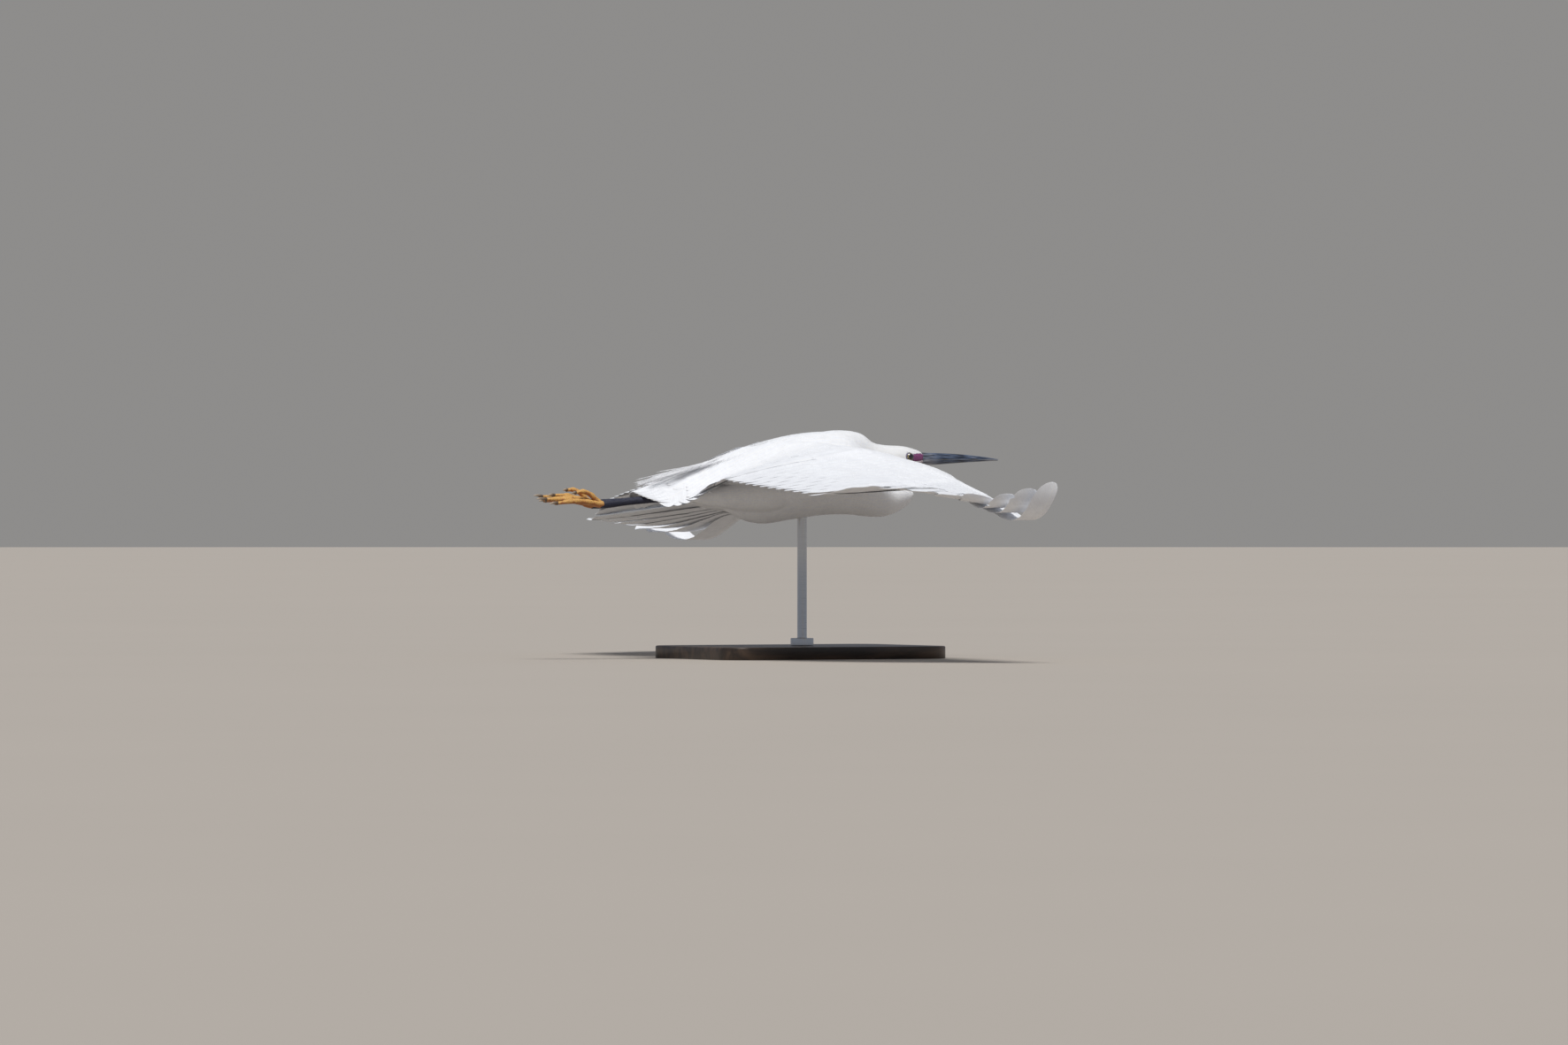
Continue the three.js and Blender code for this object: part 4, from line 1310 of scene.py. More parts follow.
@dataclass(frozen=True)
class WingPlan:
    """Bones, front edge and rows of feather tips that lay out the left wing."""

    bones: Keys = ((0, 24, 1.5), (-50, 84, 6), (8, 168, -27), (3, 236, -44))
    front_path: Keys = ((14, 24, -2), (24, 50, -9.5), (30, 80, -14), (29, 124, -17.5), (23, 168, -33),
                        (17, 206, -41), (10, 242, -46))
    secondaries: int = 12
    secondary_inner_tip: tuple = (-190, 80, -24)
    secondary_outer_tip: tuple = (-176, 228, -41)
    secondary_bow: float = -5
    secondary_reach: tuple = (1.96, 1.04)
    secondary_drops: tuple = (0.75, 0.45, 0.2)
    inner_arch: float = 4.5
    primaries: int = 10
    primary_tips: Keys = ((-170, 248, -42), (-152, 294, -36.5), (-119, 334, -40.5), (-79, 362, -46),
                          (-43, 388, -44), (-11, 403, -34))
    primary_reach: tuple = (2.06, 3)
    fall: float = 0
    curl_power: float = 4
    sweep: float = 22
    curled_widths: tuple = (11, 11.5, 10)
    sag: tuple = (3, 70)
    near_at: float = 0.36
    bend_at: float = 0.96
    curled: int = 3
    tertials: int = 5
    tertial_reach: tuple = (0.15, 0.95)
    tertial_tips: Keys = ((-186, 72, -25), (-190, 50, -30), (-204, 38, -41), (-232, 28, -47))
    tertial_roots: Keys = ((-60, 70, 6), (-62, 46, 9.5), (-80, 26, 13), (-108, 14, 13))
    front_arch: float = 2.5
    thick: Keys = ((-1, 1.6), (-0.5, 6.5), (0, 8), (0.2, 5), (0.55, 2.4), (1, 1.4))

    def bone(self, s: float) -> Array:
        """Point on the bones: 0 shoulder, 1 elbow, 2 wrist, 3 end of the hand."""
        bones = np.array(self.bones, float)
        i = min(2, int(s))
        return mix(bones[i], bones[i + 1], s - i)

    def arched(self, root: Array, tip: Array) -> Array:
        """Control points of a gently arched feather."""
        lift = np.array([0, 0, self.inner_arch])
        return np.stack([root, mix(root, tip, 1 / 3) + lift, mix(root, tip, 2 / 3) + lift, tip])

    def tertial(self, number: int) -> tuple[float, Array]:
        """Place on the bones and control points of a tertial: 0 lies along the tail's side."""
        f = number / self.tertials
        tip = SmoothPath(self.tertial_tips).at(1 - f)
        return mix(*self.tertial_reach, f), self.arched(SmoothPath(self.tertial_roots).at(1 - f), tip)

    def secondary(self, number: int) -> tuple[float, Array]:
        """Place and control points of a secondary: 1 is next to the primaries, and hangs with them.

        Args:
            number: Its number along the wing.

        Returns:
            Its place along the wing, and its control points.
        """
        f = (number - 1) / (self.secondaries - 1)
        place = mix(*self.secondary_reach, f)
        tip = mix(np.array(self.secondary_outer_tip, float), np.array(self.secondary_inner_tip, float), f)
        tip[0] += self.secondary_bow * math.sin(math.pi * f)
        if number <= len(self.secondary_drops):
            tip[2] -= self.fall * self.secondary_drops[number - 1]
        return place, self.arched(self.bone(place), tip)

    def primary(self, number: int) -> tuple[float, Array]:
        """Place and control points of a primary: 1 is the innermost.

        Args:
            number: Its number along the wing.

        Returns:
            Its place along the wing, and its control points.
        """
        f = (number - 1) / (self.primaries - 1)
        place = mix(*self.primary_reach, f)
        root, tip = self.bone(place), SmoothPath(self.primary_tips).at(f)
        curl = f**self.curl_power
        far = mix(root, tip, self.bend_at) - [self.sweep * curl, 0, mix(*self.sag, curl)]
        return place, np.stack([root, mix(root, tip, self.near_at), far, tip])

    def rows(self) -> Array:
        """Front edge and control points of every row from the tail's side out, with one beyond each end.

        Returns:
            The rows.
        """
        path = SmoothPath(self.front_path)
        laid = [self.tertial(n) for n in range(self.tertials)]
        laid += [self.secondary(n) for n in range(self.secondaries, 0, -1)]
        laid += [self.primary(n) for n in range(1, self.primaries + 1)]
        rows = np.array([np.vstack([path.at(place / 3), controls]) for place, controls in laid])
        return np.concatenate([[2 * rows[0] - rows[1]], rows, [2 * rows[-1] - rows[-2]]])


RIGHT_WING = WingPlan()
LEFT_WING = WingPlan(
    primary_tips=((-170, 248, -52), (-152, 294, -50.5), (-119, 334, -50.5), (-79, 362, -52),
                  (-43, 388, -47), (-11, 403, -34)),
    fall=10, curl_power=5, sweep=-38, curled_widths=(11, 12.5, 11),
)


@dataclass(frozen=True)
class CovertRow:
    """One row of coverts across the wing, its sizes by row number along the wing."""

    LENGTH_AT = {4: (0, 5, 16, 26), 5: (0, 5, 16, 20, 26)}
    WIDTH_AT = (0, 16, 26)

    root: float
    lengths: tuple
    half_widths: tuple
    spacing: float
    lift: float = 0.45

    def length(self, rows: Array) -> Array:
        """Length at places along the wing."""
        return along(list(zip(self.LENGTH_AT[len(self.lengths)], self.lengths)), rows)

    def half_width(self, rows: Array) -> Array:
        """Half width at places along the wing."""
        return along(list(zip(self.WIDTH_AT, self.half_widths)), rows)


UPPER_COVERTS = (
    CovertRow(0.03, (56, 74, 78, 74, 48), (9, 9, 6.5), 7.5, 0.22),
    CovertRow(-0.10, (46, 56, 50, 42, 30), (8, 8, 5.5), 6.5),
    CovertRow(-0.24, (38, 46, 33, 28, 20), (7, 6.5, 4.6), 5.6),
    CovertRow(-0.38, (34, 38, 24, 19, 15), (6, 5.6, 4), 4.8),
    CovertRow(-0.52, (30, 32, 18, 14, 12), (5.4, 4.8, 3.6), 4.2),
    CovertRow(-0.66, (26, 27, 14, 11, 9), (4.8, 4.2, 3.2), 3.8),
    CovertRow(-0.78, (21, 22, 11, 9, 7), (4.3, 3.7, 2.9), 3.4, 0.4),
    CovertRow(-0.88, (15, 16, 8.5, 6), (3.7, 3.2, 2.6), 3.0, 0.4),
    CovertRow(-0.955, (10, 11, 6.5, 5), (3.2, 2.7, 2.2), 2.6, 0.35),
    CovertRow(-1.0, (7, 7, 5, 4), (2.6, 2.3, 1.9), 2.2, 0.35),
)
LOWER_COVERTS = (
    CovertRow(0.0, (46, 56, 60, 56, 40), (9, 8.5, 6), 7.5),
    CovertRow(-0.14, (40, 46, 40, 34, 24), (8, 7.5, 5), 6.5),
    CovertRow(-0.32, (34, 38, 27, 22, 16), (7, 6, 4.3), 5.8),
    CovertRow(-0.50, (30, 32, 19, 15, 12), (6, 5, 3.7), 5.0, 0.4),
    CovertRow(-0.67, (24, 26, 14, 11, 9), (5, 4.3, 3.2), 4.2, 0.4),
    CovertRow(-0.82, (18, 19, 10, 8, 7), (4.2, 3.6, 2.8), 3.6, 0.35),
    CovertRow(-0.92, (12, 13, 7.5, 5.5), (3.4, 2.9, 2.4), 3.0, 0.35),
    CovertRow(-1.0, (8, 8, 5.5, 4.5), (2.8, 2.4, 2), 2.4, 0.3),
)


class Wing:
    """Left wing, or its mirror image, as rows from the tail's side (0) to the outermost primary (26)."""

    LAST_ROW = 26
    CREASE_ROWS = (4.75, 4.95, 5.2, 5.55)
    FIRST_SECONDARY_ROW = 5
    FIRST_PRIMARY_ROW = 17
    REAR_ROUNDING = ((0, 0.07), (23, 0.08), (24, 0.12), (26, 0.13))
    FLESH = (-0.985, 0.3)
    QUILL_COLUMNS = np.array([-1, -0.72, -0.38, -0.055, 0, 0.075, 0.5, 1])
    QUILL_SHAFT = np.array([0, 0, 0, 0.3, 1, 0.3, 0, 0])
    QUILL_VANE = np.array([0, 0.42, 0.46, 0.5, 0.5, 0.5, 0.42, 0])
    COVERT_COLUMNS = np.array([-1, -0.55, 0, 0.55, 1])
    COVERT_STATIONS = np.array([0, 0.16, 0.34, 0.52, 0.68, 0.81, 0.91, 0.97, 1.0])
    COVERT_SHAPE = np.array([0.35, 0.72, 0.95, 1.0, 0.97, 0.86, 0.62, 0.36, 0.04])

    def __init__(self, side: Side, plan: WingPlan) -> None:
        """Lays out every row.

        Args:
            side: Side that the wing is on.
            plan: Layout of the wing.
        """
        self.side = side
        self.plan = plan
        self.rng = np.random.default_rng(11 if side is Side.LEFT else 12)
        self.rows = plan.rows()
        q = np.linspace(-1, 1, 161)
        lengths = run_along(self.point(np.arange(self.LAST_ROW + 1)[:, None], q[None]))
        self.reach = np.arange(0.0, 360.0)
        self.q_table = np.stack([np.interp(self.reach, line, q) for line in lengths])

    def point(self, row: Array, q: Array) -> Array:
        """Reads the middle sheet of the wing.

        Args:
            row: Row numbers, with shares for places between rows.
            q: From -1 at the front edge over 0 at the bone to 1 at the feather's tip.

        Returns:
            A point for each.
        """
        row, q = np.broadcast_arrays(np.asarray(row, float), np.asarray(q, float))
        i = np.clip(np.floor(row).astype(int), 0, self.LAST_ROW - 1)
        t = (row - i)[..., None, None]
        a, b, c, d = (self.rows[i + k] for k in range(4))
        t2, t3 = t * t, t * t * t
        lines = 0.5 * (2 * b + (c - a) * t + (2 * a - 5 * b + 4 * c - d) * t2 + (3 * b - a - 3 * c + d) * t3)
        front = mix(lines[..., 0, :], lines[..., 1, :], (q + 1)[..., None])
        front[..., 2] += self.plan.front_arch * np.sin(math.pi * np.clip(q + 1, 0, 1))
        t = np.maximum(q, 0)[..., None]
        s = 1 - t
        a, b, c, d = (lines[..., k, :] for k in range(1, 5))
        feather = s**3 * a + 3 * s * s * t * b + 3 * s * t * t * c + t**3 * d
        return np.where((q < 0)[..., None], front, feather)

    def frame_at(self, row: Array, q: Array) -> tuple[Array, Array, Array, Array]:
        """Reads the sheet with its directions.

        Args:
            row: Row numbers.
            q: Places along the rows.

        Returns:
            Points, unit directions towards the tips and towards the wing's end, and upward normals.
        """
        aft = unit(self.point(row, np.minimum(q + 0.02, 1)) - self.point(row, np.minimum(q, 0.98) - 0.02))
        low, high = np.maximum(row - 0.3, -0.9), np.minimum(row + 0.3, self.LAST_ROW + 0.9)
        normal = unit(np.cross(self.point(high, q) - self.point(low, q), aft))
        return self.point(row, q), aft, unit(np.cross(aft, normal)), normal

    def q_behind(self, row: Array, distance: Array) -> Array:
        """Place along a row by the distance behind the front edge in millimetres."""
        row = np.clip(row, 0, self.LAST_ROW - 1e-6)
        return read_table(self.q_table, row, np.clip(distance, 0, len(self.reach) - 2))

    def depth_behind(self, row: Array, q: float) -> Array:
        """Distance behind the front edge in millimetres by the place along a row."""
        row = np.clip(row, 0, self.LAST_ROW - 1e-6)
        i = np.floor(row).astype(int)
        depths = np.array([np.interp(q, line, self.reach) for line in self.q_table])
        return mix(depths[i], depths[i + 1], row - i)

    def half_thick(self, q: Array) -> Array:
        """Half thickness of the wing with its coat."""
        return along(self.plan.thick, q) / 2

    def flesh(self, finish: Material) -> Object:
        """Makes the arm, hand and web of skin as one closed sheet under the coverts.

        Args:
            finish: Its finish.

        Returns:
            The object of the flesh.
        """
        front, back = self.FLESH
        row, q = np.meshgrid(np.linspace(0.4, self.LAST_ROW - 0.2, 105),
                             mix(front, back, np.linspace(0, 1, 26)), indexing="ij")
        at, _, _, normal = self.frame_at(row, q)
        half = np.maximum(self.half_thick(q) - 1.3, 0.12) * np.sqrt(np.clip(8 * (back - q), 0, 1))
        half = half * np.sqrt(np.clip(30 * (q - front), 0, 1))
        piece = Mesher()
        add_vanes(piece, at[None], normal[None], 0, 2 * half[None])
        return piece.build(f"wing_flesh_{self.side.word}", finish, self.side)

    def rounded_off(self, t: Array, share: Array | float, power: float) -> Array:
        """Share of a vane's width that is left near its tip, rounded off over a share of its length."""
        left = np.clip((1 - t) / share, 0, 1)
        return np.sqrt(np.clip(1 - (1 - left) ** power, 0.0004, 1))

    def quills(self, rows: Sequence[float], ahead: Keys, behind: Keys) -> Mesher:
        """Lays out long feathers along whole rows.

        Args:
            rows: Row of each feather.
            ahead: Width of the leading vane in millimetres along the wing's rows.
            behind: Width of the trailing vane.

        Returns:
            The feathers.
        """
        a, rings = self.QUILL_COLUMNS, 44
        t = (1 - (1 - np.linspace(0, 1, rings)) ** 1.7)[None]
        rows = np.asarray(rows, float)[:, None]
        at, aft, out, _ = self.frame_at(rows + 0 * t, t + 0 * rows)
        curled = np.clip(rows - (self.LAST_ROW - self.plan.curled), 0, 1)
        forward = unit(np.array([1.0, 0, 0]) - aft * aft[..., :1])
        out = unit(mix(out, forward, curled[..., None]))
        grown = mix(mix(0.16, 0.6, curled), 1, soft_step(0.02, 0.2, t))
        fore = along(ahead, rows) * self.rounded_off(t, 0.045, 2.4) * grown
        rear = along(behind, rows) * self.rounded_off(t, along(self.REAR_ROUNDING, rows), 2.0) * grown
        ragged = 1 - 0.05 * self.rng.random((len(rows), rings))
        splits = self.rng.random((len(rows), rings)) > 0.965
        rear = rear * ragged * (1 - 0.16 * splits * (t > 0.3) * (t < 0.97))
        t, rows, curled, fore, rear = (grids[..., None] for grids in (t, rows, curled, fore, rear))
        lateral = np.where(a < 0, a * rear, a * fore)
        base = at[:, :, None] + out[:, :, None] * lateral[..., None]
        slope = mix(0.9, 0.2, curled) * np.clip(lateral / np.maximum(rear + fore, 1), -1, 1)
        camber = -np.where(a < 0, 0.55, 0.1) * a * a * np.minimum(1, (rear + fore) / 14)
        ripple = 0.12 * np.sin(t * 41 + rows * 2.3) * np.abs(a)
        whole = self.rows[1 + np.clip(rows[:, 0, 0].astype(int), 0, self.LAST_ROW)]
        lengths = np.linalg.norm(whole[:, 4] - whole[:, 1], axis=-1)[:, None, None]
        piece = Mesher()
        add_vanes(piece, base, unit(np.cross(out, aft))[:, :, None], slope + camber + ripple,
                  np.maximum(self.QUILL_SHAFT * mix(1.7, 0.55, t), self.QUILL_VANE),
                  Vane=grid(t * lengths / 10, lateral / 10), OFBake=lane_map(len(rows), a, t))
        return piece

    def covert_roots(self, kind: CovertRow, start: float, stop: float) -> Array:
        """Row numbers of a row's roots, evenly spaced along the wing.

        Args:
            kind: The row of coverts.
            start: First row number.
            stop: Last row number.

        Returns:
            Row numbers.
        """
        fine = np.linspace(start, stop, 400)
        run = run_along(self.point(fine, kind.root))
        count = max(2, int(run[-1] / kind.spacing))
        even = (np.arange(count) + 0.5) / count * run[-1]
        return np.interp(even + self.rng.uniform(-0.12, 0.12, count) * kind.spacing, run, fine)

    def coverts(self, face: Face, kinds: Sequence[CovertRow]) -> Mesher:
        """Lays rows of coverts over one face of the wing, like shingles.

        Args:
            face: Upper or lower face.
            kinds: The rows.

        Returns:
            The coverts.
        """
        across, t = self.COVERT_COLUMNS, self.COVERT_STATIONS
        piece = Mesher()
        for kind in kinds:
            rows = self.covert_roots(kind, 0.2, self.LAST_ROW - 0.2)
            count = len(rows)
            length = kind.length(rows) * self.rng.uniform(0.92, 1.08, count)
            half = kind.half_width(rows) * self.rng.uniform(0.92, 1.08, count)
            root = self.depth_behind(rows, kind.root) + length * self.rng.uniform(-0.1, 0.1, count)
            q0 = self.q_behind(rows, root + 0.5 * length)
            gap = np.linalg.norm(self.point(rows + 0.2, q0) - self.point(rows - 0.2, q0), axis=-1) / 0.4
            gap, wide = gap[:, None, None], length[:, None, None]
            lateral = across * (half[:, None] * self.COVERT_SHAPE)[..., None]
            skew = self.rng.uniform(-0.04, 0.04, count)[:, None, None] * t[None, :, None]
            row = rows[:, None, None] + lateral / gap + skew * wide / gap
            row = np.clip(row, -0.85, self.LAST_ROW + 0.85)
            distance = root[:, None, None] + t[None, :, None] * wide
            distance = distance - 0.12 * np.abs(lateral) * (t > 0.5)[None, :, None]
            q = self.q_behind(row, distance)
            at, _, _, normal = self.frame_at(row, q)
            half_thick = self.half_thick(q)
            bed = np.maximum(half_thick - np.minimum(1.25, 0.8 * half_thick), 0.3)
            bed = bed * soft_step(-1.0, -0.88, q)
            cup = -0.3 * across**2 * np.minimum(1, half / 6)[:, None, None]
            jitter = self.rng.uniform(-0.06, 0.06, count)[:, None, None]
            height = bed + (kind.lift * t**1.4)[None, :, None] + cup + jitter
            spots = grid(0.02 + 0.96 * rows / self.LAST_ROW, 0.02 + 0.96 * (kind.root + 1) / 2.0)
            add_vanes(piece, at, normal * face.value, height, 0.3 * (1 - across**2),
                      Vane=grid(t[None, :, None] * wide / 10, lateral / 10),
                      OFBake=patch_map(spots, across, t))
        return piece

    def build(self, finishes: Finishes) -> None:
        """Makes every feather of the wing.

        Args:
            finishes: Every finish of the piece.
        """
        word, hand = self.side.word, self.FIRST_PRIMARY_ROW
        curled = [*enumerate(self.plan.curled_widths, 24)]
        arm = (*self.CREASE_ROWS, *range(self.FIRST_SECONDARY_ROW + 1, hand))
        kinds = (
            ("primaries", "hand", range(hand, self.LAST_ROW + 1),
             ((17, 10), (22, 9.5), *((n, 0.5 * half) for n, half in curled)),
             ((17, 21), (22, 21), *((n, 1.9 * half) for n, half in curled))),
            ("secondaries", "forearm", arm,
             ((4.7, 3.5), (5.6, 6), (6, 10), (16, 10)), ((4.7, 12), (6, 18), (16, 20))),
            ("tertials", "inner", np.linspace(0.1, 4.6, 11),
             ((0, 9), (4, 9), (5, 2.5)), ((0, 13), (5, 17))),
        )
        for name, node, rows, ahead, behind in kinds:
            laid = self.quills(rows, ahead, behind)
            made = laid.build(f"{name}_{word}", finishes.quill, self.side, sharp=CRISP)
            finish_piece(made, "feather", f"wing_{node}_{word}")
        for face, rows in ((Face.UPPER, UPPER_COVERTS), (Face.LOWER, LOWER_COVERTS)):
            name = f"coverts_{face.name.lower()}_{word}"
            made = self.coverts(face, rows).build(name, finishes.coat, self.side, sharp=0)
            finish_piece(made, "feather")


# Tail


@dataclass(frozen=True)
class Tail:
    """Tail of twelve feathers, folded like a low roof over the legs."""

    feathers: int = 12
    root: tuple = (-150, 0, 1)
    tip: tuple = (-247, 0, -35)
    half_root: float = 9
    half_tip: float = 28
    drop: float = 9.5
    root_drop: float = 5
    roof_power: float = 1.3
    rounding: float = 16
    half_width: float = 9.5
    columns: tuple = (-1, -0.7, -0.35, -0.06, 0, 0.06, 0.35, 0.7, 1)
    shaft: tuple = (0, 0, 0, 0.2, 1, 0.2, 0, 0, 0)
    vane: tuple = (0, 0.38, 0.42, 0.45, 0.45, 0.45, 0.42, 0.38, 0)

    def line(self, across: Array, t: Array) -> Array:
        """Point on the roof of the tail, by the share across (-1 to 1) and along.

        Args:
            across: Place of the feather from side to side.
            t: Shares of its length.

        Returns:
            Points.
        """
        fall = np.abs(across) ** self.roof_power
        root = grid(self.root[0], self.half_root * across, self.root[2] - self.root_drop * fall)
        tip = grid(self.tip[0] + self.rounding * across**2, self.half_tip * across,
                   self.tip[2] - self.drop * fall)
        return mix(root, tip, t[..., None])

    def build(self, finishes: Finishes) -> None:
        """Makes the tail feathers, the middle pair on top.

        Args:
            finishes: Every finish of the piece.
        """
        place = (np.arange(self.feathers) + 0.5) / self.feathers * 2 - 1
        place = (place * 0.94)[:, None, None]
        columns = np.array(self.columns)
        t = (1 - (1 - np.linspace(0, 1, 30)) ** 1.6)[:, None]
        tip = np.clip((1 - t) / 0.1, 0, 1)
        rounded = np.sqrt(np.clip(1 - (1 - tip) ** 2.2, 0.0004, 1))
        lateral = columns * (self.half_width * rounded * (0.3 + 0.7 * soft_step(0, 0.3, t)))
        across = place + lateral / mix(self.half_root, self.half_tip, t)
        way = t + 0 * across
        ahead = self.line(across, way + 0.01) - self.line(across, way - 0.01)
        right = self.line(across + 0.01, way) - self.line(across - 0.01, way)
        normal = unit(np.cross(right, ahead))
        height = 0.75 - 1.5 * np.abs(place) * t + np.sign(place) * columns * 0.3
        length = np.linalg.norm(np.array(self.tip) - np.array(self.root))
        piece = Mesher()
        add_vanes(piece, self.line(across, way), normal * np.sign(normal[..., 2:]), height,
                  np.maximum(np.array(self.shaft) * mix(1.3, 0.5, t), self.vane),
                  Vane=grid(way * length / 10, lateral / 10), OFBake=lane_map(self.feathers, columns, t))
        finish_piece(piece.build("tail_feathers", finishes.quill, sharp=CRISP), "feather", "tail")


# Trees that lay feathers


class FeatherTree(NodeKit):
    """Geometry Nodes tree that turns the marked roots of a piece into feathers."""

    def __init__(self, name: str, inputs: dict[str, str]) -> None:
        """Starts a tree.

        Args:
            name: The tree's name.
            inputs: Kind of each input beside the geometry, the seed and the finish, by name.
        """
        kinds = {"Geometry": "Geometry", **inputs, "Seed": "Int", "Finish": "Material"}
        super().__init__(new_group("Geometry", name, kinds, "Geometry").tree)

    def kept(self, name: str, kind: str = "FLOAT_VECTOR") -> NodeSocket:
        """Reads a named attribute."""
        return self.first("GeometryNodeInputNamedAttribute", {"Name": name}, data_type=kind)

    def vector(self, operation: str, *values: object) -> NodeSocket:
        """Adds a Vector Math node on two or three vectors and returns its vector."""
        return self.first("ShaderNodeVectorMath", dict(enumerate(values)), operation=operation)

    def scaled(self, vector: object, factor: object) -> NodeSocket:
        """Adds a vector times a number."""
        return self.first("ShaderNodeVectorMath", {"Vector": vector, "Scale": factor}, operation="SCALE")

    def chance(self, low: object, high: object, offset: int) -> NodeSocket:
        """Adds a random number with the tree's seed shifted by an offset."""
        inputs = {2: low, 3: high, 8: self.math("ADD", self.given["Seed"], float(offset))}
        return self.node("FunctionNodeRandomValue", inputs, data_type="FLOAT").outputs[1]

    def shape(self, name: str) -> NodeSocket:
        """Reads the mesh of an object that the tree is given."""
        return self.node("GeometryNodeObjectInfo", {0: self.given[name]}).outputs["Geometry"]

    def laid(self, points: object, pattern: str, scale: object, main: tuple, second: tuple) -> NodeSocket:
        """Lays a pattern at each point as a mesh of its own.

        Args:
            points: The points.
            pattern: The pattern's name among the inputs.
            scale: Its size.
            main: Direction, and the axis of the pattern that turns to it.
            second: The same for the axis that turns as near as it can.

        Returns:
            The meshes.
        """
        turned = self.first(
            "FunctionNodeAxesToRotation", {"Primary Axis": main[0], "Secondary Axis": second[0]},
            primary_axis=main[1], secondary_axis=second[1],
        )
        inputs = {"Points": points, "Instance": self.shape(pattern), "Scale": scale, "Rotation": turned}
        copies = self.first("GeometryNodeInstanceOnPoints", inputs)
        return self.first("GeometryNodeRealizeInstances", {0: copies})

    def stored(self, geometry: object, name: str, value: object, kind: str,
               domain: str = "POINT") -> NodeSocket:
        """Stores a value at each point, or a map at each corner."""
        inputs = {"Geometry": geometry, "Name": name, "Value": value}
        return self.first("GeometryNodeStoreNamedAttribute", inputs, data_type=kind, domain=domain)

    def dress(self, geometry: object, span: object) -> None:
        """Ends the tree with the feather's own map, the patch on the skin's unwrap and the finish.

        Args:
            geometry: The realized feathers.
            span: Length, width and lift of each feather in metres.
        """
        own = self.kept("own")
        centimetres = self.scaled(self.vector("MULTIPLY", own, span), 100.0)
        done = self.stored(geometry, "Vane", centimetres, "FLOAT2", "CORNER")
        flat = self.split(own)
        patch = self.vector("ADD", self.kept("root_uv"), self.scaled(self.joined(flat[1], flat[0]), PATCH))
        done = self.stored(done, "OFBake", patch, "FLOAT2", "CORNER")
        inputs = {0: done, "Material": self.given["Finish"]}
        self.give(Geometry=self.first("GeometryNodeSetMaterial", inputs))

    def grow(self, made: Object, **values: object) -> None:
        """Runs the tree on an object and keeps the result as its plain mesh.

        Args:
            made: The object, whose mesh holds the roots.
            values: Value of each input by name, spaces written as underscores.
        """
        modifier = made.modifiers.new(self.tree.name, "NODES")
        modifier.node_group = self.tree
        for item in self.tree.interface.items_tree:
            label = item.name.replace(" ", "_")
            if item.in_out == "INPUT" and label in values:
                modifier[item.identifier] = values[label]
        keep_result(made)


def coat_tree() -> FeatherTree:
    """Builds the tree that lays a small feather on the skin at each root.

    Returns:
        The tree's kit.
    """
    kit = FeatherTree("lay_feathers", {
        "Feather": "Object", "Skin": "Object", "Thickness": "Float", "Size Spread": "Float", "Bed": "Float",
    })
    spread = kit.given["Size Spread"]
    span = kit.kept("span")
    length, width, lift = kit.split(span)
    size = kit.chance(kit.math("SUBTRACT", 1.0, spread), kit.math("ADD", 1.0, spread), 0)
    scale = kit.joined(kit.math("MULTIPLY", length, size), kit.math("MULTIPLY", width, size), 1.0)
    real = kit.laid(kit.given["Geometry"], "Feather", scale, (kit.kept("up"), "Z"), (kit.kept("lie"), "X"))
    skin = kit.shape("Skin")
    below = kit.node("GeometryNodeProximity", {0: skin}).outputs["Position"]
    outward = kit.first(
        "GeometryNodeSampleNearestSurface", {0: skin, 1: kit.kept("outward")}, data_type="FLOAT_VECTOR"
    )
    rise = kit.math("MULTIPLY", kit.kept("rise", "FLOAT"), lift)
    shell = kit.math("MULTIPLY", kit.kept("shell", "FLOAT"), kit.given["Thickness"])
    height = kit.math("ADD", kit.math("ADD", rise, shell), kit.given["Bed"])
    raised = kit.vector("ADD", below, kit.scaled(kit.vector("NORMALIZE", outward), height))
    kit.dress(kit.first("GeometryNodeSetPosition", {"Geometry": real, "Position": raised}), span)
    return kit


